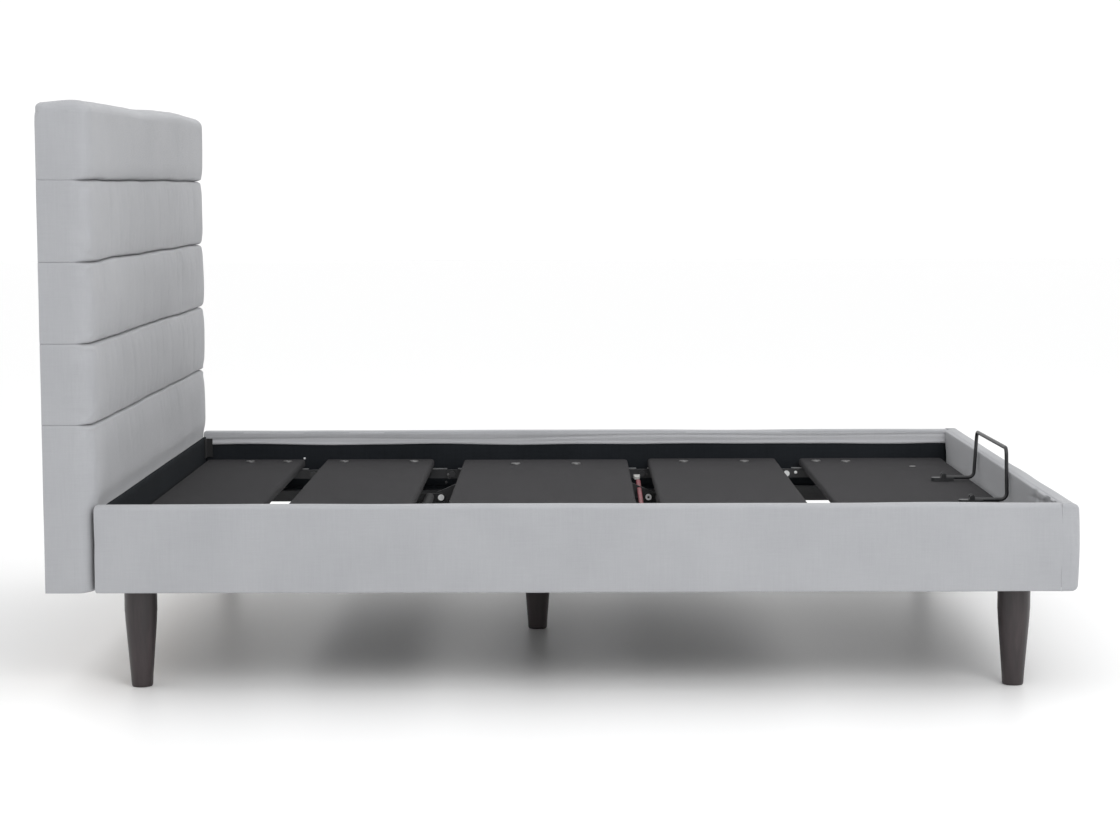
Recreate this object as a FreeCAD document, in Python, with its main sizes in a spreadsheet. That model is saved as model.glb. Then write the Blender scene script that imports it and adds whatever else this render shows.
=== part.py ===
import FreeCAD, Part
import math
import os
import re

import Sketcher

# Adjustable bed base, millimetres, +Z up.  The origin is on the floor under the
# middle of the whole bed, +X runs from the headboard to the foot, and "near" is
# the -Y side.  Distances along the bed are given from the headboard's front plane.

NODE_FOLDER = "parts"
SIDES = {"near": -1, "far": 1}
Z_AXIS = FreeCAD.Vector(0, 0, 1)
DIRECTIONS = {"x": FreeCAD.Vector(1, 0, 0), "y": FreeCAD.Vector(0, 1, 0), "z": Z_AXIS}
FRONT = "(headboard_thickness - overall_length / 2)"

DIMENSIONS = {
    # whole bed
    "overall_length": 2205,
    "overall_width": 1620,
    "underside_height": 224,
    "rail_height": 413,
    "headboard_height": 1275,
    "headboard_thickness": 105,
    "headboard_seam": 585,
    "channel_pitch": 173,
    "channel_padding": 30,
    "channel_corner": 38,
    "channel_softness": 9,
    "back_cloth": 5,
    "frame_timber": 60,
    "face_board": 12,
    "cloth_gap": 1,
    # upholstered rails
    "rail_length": 2064,
    "rail_thickness": 40,
    "fabric_layer": 4,
    "top_layer": 6,
    "rail_round": 10,
    "light_band": 38,
    "foot_rail_start": 2065,
    "foot_pad_start": 2058,
    "lining_bottom": 262,
    "lining_start": 9,
    "lining_gap": 0.2,
    "head_lining_start": 0.5,
    "head_lining_end": 8,
    "head_lining_top": 398,
    "bracket_start": 8.5,
    "bracket_end": 26,
    "bracket_width": 34,
    "bracket_plate": 3,
    # legs
    "leg_top_radius": 35.5,
    "leg_foot_radius": 23,
    "leg_straight": 58,
    "leg_edge": 3,
    "head_leg": 78,
    "foot_leg": 1985,
    "centre_leg": 936,
    "leg_side": 692,
    "leg_plate": 50,
    # lower frame
    "frame_tube": 30,
    "tube_wall": 2,
    "frame_inner": 680,
    "frame_start": 60,
    "frame_end": 2000,
    "plate_thickness": 4,
    "brace_width": 96,
    "brace_thickness": 3,
    "head_brace": 644,
    "foot_brace": 1228,
    "brace_slot_length": 78,
    "brace_slot_width": 44,
    "lug_gap": 12,
    "lug_thickness": 4,
    "lug_reach": 12,
    "lug_root": 14,
    # deck
    "deck_height": 337,
    "panel_thickness": 20,
    "panel_half_width": 755,
    "seat_half_width": 735,
    "panel_corner": 10,
    "panel_round": 6,
    "bolt_seat_depth": 1,
    "bolt_seat_clearance": 0.4,
    "pillow_start": 14,
    "pillow_end": 285,
    "back_start": 344,
    "back_end": 642,
    "seat_start": 725,
    "seat_end": 1176,
    "thigh_start": 1232,
    "thigh_end": 1585,
    "foot_start": 1650,
    "foot_end": 2045,
    # section frames
    "deck_tube": 25,
    "deck_tube_inner": 677,
    "cross_inset": 45,
    "hinge_height": 304,
    "hinge_gap": 15,
    "pillow_hinge": 315,
    "back_hinge": 695,
    "thigh_hinge": 1214,
    "foot_hinge": 1609.5,
    "ear_thickness": 4,
    "ear_reach": 14,
    "ear_length": 60,
    "hinge_pin_radius": 5,
    "running_clearance": 0.05,
    "spacer_width": 30,
    "track_width": 22,
    "track_offset": 2,
    "track_thickness": 8,
    "gusset_gap": 4,
    "gusset_thickness": 6,
    "gusset_half": 12,
    "gusset_root": 46,
    "control_length": 120,
    "control_start": 275,
    "control_near": 150,
    "control_far": 330,
    "control_depth": 28,
    # lift arms
    "arm_height": 278,
    "back_arm_pivot": 680,
    "thigh_arm_pivot": 1222.2,
    "back_arm_length": 300,
    "thigh_arm_length": 250,
    "arm_inner": 372,
    "arm_thickness": 8,
    "arm_half_depth": 10,
    "arm_pin_radius": 6,
    "roller_radius": 13.7,
    "roller_width": 16,
    "torque_radius": 12,
    "torque_offset": 30,
    "crank_inner": 11,
    "crank_outer": 16,
    # actuators
    "actuator_height": 262,
    "actuator_back": 898,
    "actuator_thigh": 974,
    "actuator_pillow": 590,
    "pillow_actuator_height": 274,
    "lift_plane": 120,
    "pillow_plane": 480,
    "crank_back": 30,
    "crank_thigh": 40,
    "crank_pillow": 35,
    "back_lift_angle": 60,
    "thigh_lift_angle": 35,
    "pillow_tilt_angle": 30,
    "rod_radius": 8,
    "barrel_wall": 6,
    "barrel_back": 140,
    "barrel_thigh": 160,
    "barrel_pillow": 180,
    "barrel_step": 26,
    "eye_half_width": 9,
    "eye_wall": 5,
    "neck_half_height": 7,
    "motor_start": 20,
    "motor_end": 66,
    "motor_near": 22,
    "motor_far": 46,
    "motor_half_height": 15,
    "back_play": 3.2,
    "thigh_play": 1.7,
    "pillow_play": 1.2,
    # foot link
    "link_start": 1500,
    "link_height": 262,
    "link_inner": 650,
    "link_thickness": 6,
    "link_pin_radius": 8,
    "link_end_radius": 6,
    "link_half_height": 10,
    "link_lug_half": 15,
    "link_lug_inner": 10,
    "link_lug_outer": 18,
    "link_lug_bottom": 17,
    "link_lug_floor": 9,
    "link_lug_top": 16,
    "link_hanger_half": 13,
    "link_hanger_gap": 6,
    # mattress retainer
    "retainer_pivot": 1968.6,
    "retainer_plane": 346,
    "retainer_top": 468,
    "retainer_half_width": 220,
    "retainer_radius": 4.5,
    "retainer_bend": 15,
    "near_bar_low": 2052,
    "near_bar_high": 2049,
    "far_bar_low": 2046,
    "far_bar_high": 2053,
    "far_bar_drop": 6,
    "retainer_eye": 6.5,
    "retainer_eye_half": 6,
    "retainer_pin": 3,
    "housing_reach": 19,
    "housing_front": 25,
    "housing_half_width": 12,
    "housing_floor": 2,
    "housing_wall_inner": 7,
    "pin_recess": 2,
    "pin_recess_radius": 4.8,
    "ear_round": 6,
    "ear_rise": 6,
    # bolt heads
    "deck_bolt_radius": 13,
    "deck_bolt_head": 3,
    "pan_head_radius": 8,
    "pan_head_height": 5,
}

doc = FreeCAD.newDocument("AdjustableBedBase")
sheet = doc.addObject("Spreadsheet::Sheet", "Sizes")
for row, (alias, value) in enumerate(DIMENSIONS.items(), start=1):
    sheet.set(f"A{row}", alias)
    sheet.set(f"B{row}", str(value))
    sheet.setAlias(f"B{row}", alias)
doc.recompute()

nodes = []


def cells(text):
    """Turn every dimension name in an expression into a reference to its cell."""
    def reference(word):
        return f"Sizes.{word[0]}" if word[0] in DIMENSIONS else word[0]

    return re.sub(r"[a-z][a-z_]*", reference, str(text))


def bind(item, path, text):
    item.setExpression(path, cells(text))


def number(text):
    """The present value of an expression."""
    return float(sheet.evalExpression(cells(text)))


def along(distance):
    """A place along the bed, from its distance behind the headboard's front plane."""
    return f"({FRONT} + {distance})"


def across(side, low, high):
    """A stretch across the bed on one side: side is 1 or -1."""
    return (f"({low})", f"({high})") if side > 0 else (f"-({high})", f"-({low})")


def keep(item, name):
    """Name a finished sub-part; its label is also the name of its file."""
    item.Label = name
    nodes.append(item)
    return item


# Part primitives

def box(low, high):
    item = doc.addObject("Part::Box", "Block")
    for axis, side, start, end in zip("xyz", ("Length", "Width", "Height"), low, high):
        bind(item, side, f"({end}) - ({start})")
        bind(item, f"Placement.Base.{axis}", start)
    return item


def cylinder(axis, centre, start, end, radius):
    """A cylinder along x, y or z; centre holds its two other coordinates in order."""
    item = doc.addObject("Part::Cylinder", "Round")
    item.Placement = FreeCAD.Placement(FreeCAD.Vector(), FreeCAD.Rotation(Z_AXIS, DIRECTIONS[axis]))
    bind(item, "Radius", radius)
    bind(item, "Height", f"({end}) - ({start})")
    others = [letter for letter in "xyz" if letter != axis]
    for letter, place in zip(others, centre):
        bind(item, f"Placement.Base.{letter}", place)
    bind(item, f"Placement.Base.{axis}", start)
    return item


def fuse(items):
    if len(items) == 1:
        return items[0]
    result = doc.addObject("Part::MultiFuse", "Joined")
    result.Shapes = items
    return result


def cut(base, tools):
    result = doc.addObject("Part::Cut", "Bored")
    result.Base = base
    result.Tool = fuse(tools)
    return result


def group(items):
    result = doc.addObject("Part::Compound", "Set")
    result.Links = items
    return result


def tube_pair(low, high, axis):
    """The outside of a square tube along x or y, and the hollow inside it."""
    inner_low = [text if letter == axis else f"({text}) + tube_wall" for letter, text in zip("xyz", low)]
    inner_high = [text if letter == axis else f"({text}) - tube_wall" for letter, text in zip("xyz", high)]
    return box(low, high), box(inner_low, inner_high)


# PartDesign bodies

def origin_plane(body, role):
    return next(item for item in body.Origin.OriginFeatures if item.Role == role)


def outline(body, role, points):
    """A closed sketch whose corners are each held by two bound distances."""
    sketch = body.newObject("Sketcher::SketchObject", "Outline")
    sketch.AttachmentSupport = (origin_plane(body, role), [""])
    sketch.MapMode = "FlatFace"
    places = [FreeCAD.Vector(number(u), number(v), 0) for u, v in points]
    count = len(points)
    for index, place in enumerate(places):
        sketch.addGeometry(Part.LineSegment(place, places[(index + 1) % count]))
    for index in range(count):
        sketch.addConstraint(Sketcher.Constraint("Coincident", index, 2, (index + 1) % count, 1))
    for index, (place, texts) in enumerate(zip(places, points)):
        distances = (("DistanceX", -2, place.x, texts[0]), ("DistanceY", -1, place.y, texts[1]))
        for kind, axis, value, text in distances:
            if value == 0:
                sketch.addConstraint(Sketcher.Constraint("PointOnObject", index, 1, axis))
                continue
            held = sketch.addConstraint(Sketcher.Constraint(kind, -1, 1, index, 1, value))
            sketch.renameConstraint(held, f"{kind}{index}")
            bind(sketch, f"Constraints.{kind}{index}", text)
    return sketch


def rectangle(low_u, high_u, low_v, high_v):
    return [(low_u, low_v), (high_u, low_v), (high_u, high_v), (low_u, high_v)]


def prism(role, points, start, end):
    """A body padded from an outline on XY, YZ or XZ, from start to end along the third axis."""
    body = doc.addObject("PartDesign::Body", "Piece")
    sketch = outline(body, role, points)
    pad = body.newObject("PartDesign::Pad", "Thickness")
    pad.Profile = sketch
    bind(pad, "Length", f"({end}) - ({start})")
    axis, base = {"XY_Plane": ("z", start), "YZ_Plane": ("x", start), "XZ_Plane": ("y", end)}[role]
    bind(body, f"Placement.Base.{axis}", base)
    sketch.Visibility = False
    doc.recompute()
    return body


def pocket(body, role, points, depth):
    """Cut an outline into the body from its own base plane."""
    before = body.Shape.Volume
    sketch = outline(body, role, points)
    hollow = body.newObject("PartDesign::Pocket", "Hollow")
    hollow.Profile = sketch
    hollow.Reversed = True
    bind(hollow, "Length", depth)
    doc.recompute()
    if hollow.Shape.Volume >= before:
        raise RuntimeError("a pocket removed nothing")
    return body


def soften(body, radius, chosen):
    """Round those edges of the body's tip that the test chooses."""
    tip = body.Tip
    edges = [f"Edge{index}" for index, edge in enumerate(tip.Shape.Edges, start=1) if chosen(edge)]
    rounding = body.newObject("PartDesign::Fillet", "Rounding")
    rounding.Base = (tip, edges)
    bind(rounding, "Radius", radius)
    doc.recompute()
    return body


def is_along(edge, axis):
    ends = [vertex.Point for vertex in edge.Vertexes]
    return len(ends) == 2 and abs(abs((ends[1] - ends[0]).normalize().dot(DIRECTIONS[axis])) - 1) < 1e-6


def near_to(value, target):
    return abs(value - target) < 0.01


# Headboard

CORE_SIDE = "overall_width / 2 - channel_padding"
CORE_TOP = "headboard_height - channel_padding"
CORE_BOTTOM = "underside_height + top_layer"


def make_headboard():
    """A timber tray with a face board, its dust cloth, and the channels that wrap it."""
    back = f"{FRONT} - headboard_thickness"
    core_back = f"{back} + back_cloth + cloth_gap"
    core_front = f"{FRONT} - channel_padding"
    board = rectangle(f"-({CORE_SIDE})", CORE_SIDE, CORE_BOTTOM, CORE_TOP)
    core = prism("YZ_Plane", board, core_back, core_front)
    hollow = rectangle(f"frame_timber - ({CORE_SIDE})", f"{CORE_SIDE} - frame_timber",
                       f"{CORE_BOTTOM} + frame_timber", f"{CORE_TOP} - frame_timber")
    pocket(core, "YZ_Plane", hollow, f"({core_front}) - ({core_back}) - face_board")
    keep(core, "headboard_core")
    cloth = rectangle(f"{back} + cloth_gap", core_back,
                      f"cloth_gap - ({CORE_SIDE})", f"{CORE_SIDE} - cloth_gap")
    keep(prism("XY_Plane", cloth, CORE_BOTTOM, f"{CORE_TOP} - cloth_gap"), "headboard_back")
    heights = ["underside_height"] + [f"headboard_seam + channel_pitch * {step}" for step in range(4)]
    heights.append("headboard_height")
    for index, (low, high) in enumerate(zip(heights, heights[1:]), start=1):
        make_channel(index, back, core_front, low, high)


def make_channel(index, back, core_front, low, high):
    """One padded channel: it wraps the front and both ends of the core."""
    half = "overall_width / 2"
    channel = prism("XY_Plane", rectangle(back, FRONT, f"-{half}", half), low, high)
    front = number(FRONT)
    soften(channel, "channel_corner",
           lambda edge: is_along(edge, "z") and near_to(edge.Vertexes[0].X, front))
    soften(channel, "channel_softness",
           lambda edge: near_to(edge.BoundBox.XMax, front) and near_to(edge.BoundBox.XMin, front)
           and is_along(edge, "y"))
    top = CORE_TOP if high == "headboard_height" else high
    inside = rectangle(back, core_front, f"-({CORE_SIDE})", CORE_SIDE)
    pocket(channel, "XY_Plane", inside, f"({top}) - ({low})")
    keep(channel, f"headboard_channel_{index}")


# Rails

RAIL_OUT = "overall_width / 2"
RAIL_IN = "overall_width / 2 - rail_thickness"
BOARD_OUT = f"{RAIL_OUT} - fabric_layer"
BOARD_IN = f"{RAIL_IN} + fabric_layer"
BOARD_TOP = "rail_height - top_layer"
BAND_BOTTOM = "rail_height - light_band"


def make_side_rail(name, side):
    """A board on edge, the upholstery folded over it, and the dark lining inside."""
    start = along("cloth_gap")
    end = along("rail_length")
    board = rectangle(*across(side, BOARD_IN, BOARD_OUT), CORE_BOTTOM, BOARD_TOP)
    keep(prism("YZ_Plane", board, f"{start} + cloth_gap", f"{end} - cloth_gap"), f"rail_board_{name}")
    profile = [(RAIL_OUT, "underside_height"), (RAIL_OUT, "rail_height"), (RAIL_IN, "rail_height"),
               (RAIL_IN, BAND_BOTTOM), (BOARD_IN, BAND_BOTTOM), (BOARD_IN, BOARD_TOP),
               (BOARD_OUT, BOARD_TOP), (BOARD_OUT, "underside_height")]
    cover = prism("YZ_Plane", [(f"{side} * ({out})", up) for out, up in profile], start, end)
    top = number("rail_height")
    outside = number(RAIL_OUT)
    soften(cover, "rail_round", lambda edge: is_along(edge, "x") and near_to(edge.Vertexes[0].Z, top)
           and near_to(abs(edge.Vertexes[0].Y), outside))
    keep(cover, f"rail_cover_{name}")
    lining = rectangle(*across(side, f"{RAIL_IN} + lining_gap", f"{BOARD_IN} - lining_gap"), "lining_bottom",
                       f"{BAND_BOTTOM} - 2 * lining_gap")
    strip = prism("YZ_Plane", lining, along("lining_start"), along("foot_pad_start - cloth_gap"))
    keep(strip, f"lining_{name}")


def make_foot_rail():
    """A board in a closed cover that wraps both its ends, with a padded cloth inside it."""
    end = along("(overall_length - headboard_thickness)")
    start = along("foot_rail_start")
    half = "overall_width / 2"
    board_low = f"{start} + fabric_layer"
    board_high = f"{end} - fabric_layer"
    board_end = f"{half} - fabric_layer"
    board = rectangle(board_low, board_high, CORE_BOTTOM, BOARD_TOP)
    keep(prism("XZ_Plane", board, f"-({board_end})", board_end), "rail_board_foot")
    block = prism("XY_Plane", rectangle(start, end, f"-{half}", half), "underside_height", "rail_height")
    outside = number(end)
    soften(block, "rail_round", lambda edge: near_to(edge.BoundBox.XMin, outside)
           and (is_along(edge, "z") or near_to(edge.BoundBox.ZMin, number("rail_height - underside_height"))))
    hollows = [box((board_low, f"-({board_end})", "underside_height - 1"),
                   (board_high, board_end, BOARD_TOP)),
               box((f"{start} - 1", f"-({board_end})", "underside_height - 1"),
                   (f"{board_low} + 1", board_end, BAND_BOTTOM))]
    keep(cut(block, hollows), "rail_cover_foot")
    pad = rectangle(along("foot_pad_start"), f"{start} - cloth_gap / 2", "lining_bottom",
                    "rail_height - 2 * cloth_gap")
    keep(prism("XZ_Plane", pad, f"cloth_gap - ({RAIL_IN})", f"{RAIL_IN} - cloth_gap"), "foot_inner_pad")


def make_head_lining():
    board = rectangle(along("head_lining_start"), along("head_lining_end"),
                      "lining_bottom", "head_lining_top")
    keep(prism("XZ_Plane", board, f"cloth_gap - ({RAIL_IN})", f"{RAIL_IN} - cloth_gap"), "lining_head")


def make_corner_bracket(name, side):
    """Steel angle that ties the side rail to the head end."""
    outer = f"{RAIL_IN} - cloth_gap / 2"
    inner = f"{outer} - bracket_width"
    start = along("bracket_start")
    end = along("bracket_end")
    corner = [(start, outer), (start, inner), (f"{start} + bracket_plate", inner),
              (f"{start} + bracket_plate", f"{outer} - bracket_plate"), (end, f"{outer} - bracket_plate"),
              (end, outer)]
    outline_points = [(place, f"{side} * ({offset})") for place, offset in corner]
    plate = prism("XY_Plane", outline_points, "deck_height + 5", "rail_height - 20")
    keep(plate, f"corner_bracket_{name}")


# Legs

def make_leg(name, distance, place_y):
    """A turned leg: straight collar, then a taper down to a small rounded foot."""
    body = doc.addObject("PartDesign::Body", "Leg")
    profile = [("0", "0"), ("leg_foot_radius - leg_edge", "0"), ("leg_foot_radius", "leg_edge"),
               ("leg_top_radius", "underside_height - leg_straight"), ("leg_top_radius", "underside_height"),
               ("0", "underside_height")]
    sketch = outline(body, "XZ_Plane", profile)
    turned = body.newObject("PartDesign::Revolution", "Turned")
    turned.Profile = sketch
    turned.ReferenceAxis = (sketch, ["V_Axis"])
    turned.Angle = 360
    bind(body, "Placement.Base.x", along(distance))
    bind(body, "Placement.Base.y", place_y)
    doc.recompute()
    keep(body, f"leg_{name}")


def leg_places():
    """Each leg's name, its distance along the bed and its place across it."""
    corners = [(f"{end}_{name}", f"{end}_leg", f"{side} * leg_side")
               for end in ("head", "foot") for name, side in SIDES.items()]
    return corners + [("centre", "centre_leg", "0")]


def make_legs():
    for name, distance, place in leg_places():
        make_leg(name, distance, place)


# Lower frame

FRAME_BOTTOM = "underside_height + plate_thickness"
FRAME_TOP = f"{FRAME_BOTTOM} + frame_tube"


def frame_tubes():
    """Two long tubes and three cross tubes, hollow and open-ended, with a plate over each leg."""
    solids = []
    hollows = []
    for side in SIDES.values():
        low, high = across(side, "frame_inner", "frame_inner + frame_tube")
        outer, inner = tube_pair((along("frame_start"), low, FRAME_BOTTOM),
                                 (along("frame_end"), high, FRAME_TOP), "x")
        solids.append(outer)
        hollows.append(inner)
    for distance in ("head_leg", "centre_leg", "foot_leg"):
        start = f"{along(distance)} - frame_tube / 2"
        end = f"{along(distance)} + frame_tube / 2"
        outer, inner = tube_pair((start, f"-({BOARD_IN})", FRAME_BOTTOM), (end, BOARD_IN, FRAME_TOP), "y")
        solids.append(outer)
        hollows.append(inner)
    for _, distance, place in leg_places():
        solids.append(box((f"{along(distance)} - leg_plate", f"{place} - leg_plate", "underside_height"),
                          (f"{along(distance)} + leg_plate", f"{place} + leg_plate", FRAME_BOTTOM)))
    return cut(fuse(solids), hollows)


def link_lugs():
    """Angle lugs inside the side tubes that carry the foot link's shaft, and the bores through them."""
    start = f"{along('link_start')} - link_lug_half"
    end = f"{along('link_start')} + link_lug_half"
    items = []
    bores = []
    for side in SIDES.values():
        low, high = across(side, "link_inner + link_lug_inner", "frame_inner + 1")
        items.append(box((start, low, "link_height - link_lug_bottom"),
                         (end, high, "link_height - link_lug_floor")))
        low, high = across(side, "link_inner + link_lug_inner", "link_inner + link_lug_outer")
        items.append(box((start, low, "link_height - link_lug_bottom"),
                         (end, high, "link_height + link_lug_top")))
        bores.append(cylinder("y", (along("link_start"), "link_height"), low, high,
                              "link_pin_radius + running_clearance"))
    return items, bores


def braces():
    """Wide flat plates across the bed, fixed to the long tubes below the two lift pivots."""
    items = []
    for middle in ("head_brace", "foot_brace"):
        items.append(box((f"{along(middle)} - brace_width / 2", "-frame_inner - 1", FRAME_BOTTOM),
                         (f"{along(middle)} + brace_width / 2", "frame_inner + 1",
                          f"{FRAME_BOTTOM} + brace_thickness")))
    return items


def crank_slot():
    """The opening in the foot brace that the thigh section's crank swings through."""
    middle = along("thigh_arm_pivot")
    return box((f"{middle} - brace_slot_length / 2", "-lift_plane - brace_slot_width / 2",
                f"{FRAME_BOTTOM} - 1"),
               (f"{middle} + brace_slot_length / 2", "brace_slot_width / 2 - lift_plane",
                f"{FRAME_BOTTOM} + brace_thickness + 1"))


def make_base_frame():
    lugs, bores = link_lugs()
    motors = ((along("actuator_back"), "lift_plane", f"{along('centre_leg')} - lug_root"),
              (along("actuator_thigh"), "-lift_plane", f"{along('centre_leg')} + lug_root"))
    for pivot, plane, root in motors:
        lugs += actuator_lugs(pivot, "actuator_height", plane, root)
    keep(cut(fuse([frame_tubes()] + braces() + lugs), bores + [crank_slot()]), "base_frame")


def actuator_lugs(pivot, height, plane, root):
    """Two lugs and the pin between them, reaching from a cross tube to the pivot."""
    if number(root) < number(pivot):
        reach = (root, f"{pivot} + lug_reach")
    else:
        reach = (f"{pivot} - lug_reach", root)
    outer = "(lug_gap + lug_thickness)"
    items = [cylinder("y", (pivot, height), f"{plane} - {outer}", f"{plane} + {outer}", "hinge_pin_radius")]
    for low, high in ((f"-{outer}", "-lug_gap"), ("lug_gap", outer)):
        items.append(box((reach[0], f"{plane} + {low}", f"{height} - lug_reach"),
                         (reach[1], f"{plane} + {high}", f"{height} + lug_reach")))
    return items


# Deck sections

SECTION_TOP = "deck_height - panel_thickness"
SECTION_BOTTOM = f"{SECTION_TOP} - deck_tube"


def section_tubes(start, end, cross_places):
    """Two side tubes and the cross tubes of one deck section, as one welded frame."""
    solids = []
    hollows = []
    for side in SIDES.values():
        low, high = across(side, "deck_tube_inner", "deck_tube_inner + deck_tube")
        outer, inner = tube_pair((start, low, SECTION_BOTTOM), (end, high, SECTION_TOP), "x")
        solids.append(outer)
        hollows.append(inner)
    reach = "(deck_tube_inner + tube_wall / 2)"
    for place in cross_places:
        outer, inner = tube_pair((place, f"-{reach}", SECTION_BOTTOM),
                                 (f"{place} + deck_tube", reach, SECTION_TOP), "y")
        solids.append(outer)
        hollows.append(inner)
    return cut(fuse(solids), hollows)


EAR_TOP = f"{SECTION_TOP} - 1"
FIXED_EAR_OUT = "deck_tube_inner - ear_thickness - 1"
FIXED_EAR_IN = "deck_tube_inner - 2 * ear_thickness - 1"
EAR_WEB_START = 20


def ear_stretch(toward, start, end):
    """A stretch along the bed from the hinge; toward is 1 for the foot, -1 for the head."""
    low, high = sorted((toward * start, toward * end))
    return low, high


def fixed_ears(hinge, toward):
    """Ears on the section that carries a hinge, each joined to its side tube by a web."""
    items = []
    whole = ear_stretch(toward, -number("ear_reach"), number("ear_length"))
    web = ear_stretch(toward, EAR_WEB_START, number("ear_length"))
    for side in SIDES.values():
        for (start, end), inner, outer in ((whole, FIXED_EAR_IN, FIXED_EAR_OUT),
                                           (web, FIXED_EAR_OUT, "deck_tube_inner + 1")):
            low, high = across(side, inner, outer)
            items.append(box((f"{hinge} + {start}", low, SECTION_BOTTOM),
                             (f"{hinge} + {end}", high, EAR_TOP)))
    return items


def moving_ears(hinge, toward):
    """Ears on the section that turns, one on each side tube's inner face."""
    items = []
    start, end = ear_stretch(toward, -number("ear_reach"), number("ear_length"))
    for side in SIDES.values():
        low, high = across(side, "deck_tube_inner - ear_thickness", "deck_tube_inner")
        items.append(box((f"{hinge} + {start}", low, SECTION_BOTTOM), (f"{hinge} + {end}", high, EAR_TOP)))
    return items


def ear_bores(hinge, low, high, radius):
    return [cylinder("y", (hinge, "hinge_height"), *across(side, low, high), radius)
            for side in SIDES.values()]


def fixed_bores(hinge):
    return ear_bores(hinge, f"{FIXED_EAR_IN} - 1", FIXED_EAR_OUT, "hinge_pin_radius")


def moving_bores(hinge):
    return ear_bores(hinge, "deck_tube_inner - ear_thickness", "deck_tube_inner",
                     "hinge_pin_radius + running_clearance")


def tracks(start, end):
    """Two flat bars that the lift rollers run under."""
    items = []
    for side in SIDES.values():
        low, high = across(side, "arm_inner - track_offset - track_width", "arm_inner - track_offset")
        items.append(box((f"{start} - 1", low, SECTION_BOTTOM),
                         (f"{end} + 1", high, f"{SECTION_BOTTOM} + track_thickness")))
    return items


GUSSET_INNER = "arm_inner + arm_thickness + gusset_gap"


def arm_lugs(pivot, toward):
    """Gusset plates on the seat frame that carry the lift arms' pivot bolts."""
    lip = f"{SECTION_TOP} - 2"
    tip = f"{pivot} - {toward} * gusset_half"
    root = f"{pivot} + {toward} * (gusset_root + gusset_half)"
    profile = [(tip, "arm_height - gusset_half"),
               (f"{pivot} + {toward} * gusset_half", "arm_height - gusset_half"),
               (root, SECTION_BOTTOM), (root, lip), (f"{pivot} + {toward} * gusset_root", lip),
               (tip, "arm_height + gusset_half")]
    items = []
    bores = []
    for side in SIDES.values():
        low, high = across(side, GUSSET_INNER, f"{GUSSET_INNER} + gusset_thickness")
        items.append(prism("XZ_Plane", profile, low, high))
        bores.append(cylinder("y", (pivot, "arm_height"), low, high, "arm_pin_radius"))
    return items, bores


def make_panel(name, start, end, half_width, bolts):
    """A wrapped board with round corners and a soft edge, and its bolts in shallow seats."""
    board = rectangle(start, end, f"-{half_width}", half_width)
    panel = prism("XY_Plane", board, SECTION_TOP, "deck_height")
    soften(panel, "panel_corner", lambda edge: is_along(edge, "z"))
    top = number("panel_thickness")
    soften(panel, "panel_round", lambda edge: near_to(edge.BoundBox.ZMin, top))
    floor = "deck_height - bolt_seat_depth"
    places = [(distance, f"{side} * {offset}") for side in SIDES.values() for distance, offset in bolts]
    seats = [cylinder("z", place, floor, "deck_height + 1", "deck_bolt_radius + bolt_seat_clearance")
             for place in places]
    keep(cut(panel, seats), f"panel_{name}")
    heads = [cylinder("z", place, floor, "deck_height + deck_bolt_head", "deck_bolt_radius")
             for place in places]
    keep(group(heads), f"bolts_{name}")


def pan_head_bolt(centre, side, head, shank_end, radius):
    """A bolt along Y; head is the plane under its head, which is on the bed's inner side."""
    shank = cylinder("y", centre, *across(side, head, shank_end), radius)
    cap = cylinder("y", centre, *across(side, f"{head} - pan_head_height", head), "pan_head_radius")
    return fuse([shank, cap])


def make_pivot_bolts(name, hinge, arm_pivot=None):
    """Hinge bolts, one in each pair of ears, and the lift arms' pivot bolts."""
    items = []
    for side in SIDES.values():
        items.append(pan_head_bolt((hinge, "hinge_height"), side, FIXED_EAR_IN, "deck_tube_inner - 0.5",
                                   "hinge_pin_radius"))
        if arm_pivot:
            items.append(pan_head_bolt((arm_pivot, "arm_height"), side, "arm_inner - 0.5",
                                       f"{GUSSET_INNER} + gusset_thickness", "arm_pin_radius"))
    keep(group(items), f"pivot_bolts_{name}")


def seat_spacers():
    """Blocks that stand the seat frame on the lower frame's long tubes."""
    items = []
    for place in (f"{along('seat_start')} + spacer_width / 2", f"{along('seat_end')} - 3 * spacer_width / 2"):
        for side in SIDES.values():
            low, high = across(side, "frame_inner", "deck_tube_inner + deck_tube")
            items.append(box((place, low, FRAME_TOP), (f"{place} + spacer_width", high, SECTION_BOTTOM)))
    return items


def make_control_box():
    start = along("seat_start + control_start")
    case = prism("XY_Plane", rectangle(start, f"{start} + control_length", "control_near", "control_far"),
                 f"{SECTION_TOP} - control_depth", SECTION_TOP)
    soften(case, "panel_round", lambda edge: is_along(edge, "z"))
    keep(case, "control_box")


def make_seat():
    back_hinge = along("back_hinge")
    thigh_hinge = along("thigh_hinge")
    crosses = (along("seat_start"), f"{along('seat_end')} - deck_tube")
    solids = [section_tubes(f"{back_hinge} + hinge_gap", f"{thigh_hinge} - hinge_gap", crosses)]
    solids += fixed_ears(back_hinge, 1) + fixed_ears(thigh_hinge, -1) + seat_spacers()
    bores = fixed_bores(back_hinge) + fixed_bores(thigh_hinge)
    for pivot, toward in (("back_arm_pivot", 1), ("thigh_arm_pivot", -1)):
        lugs, holes = arm_lugs(along(pivot), toward)
        solids += lugs
        bores += holes
    keep(cut(fuse(solids), bores), "seat_frame")
    bolts = ((along("seat_start + 145"), "620"), (along("seat_end - 142"), "620"))
    make_panel("seat", along("seat_start"), along("seat_end"), "seat_half_width", bolts)
    make_pivot_bolts("back", back_hinge, along("back_arm_pivot"))
    make_pivot_bolts("thigh", thigh_hinge, along("thigh_arm_pivot"))
    make_control_box()


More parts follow.
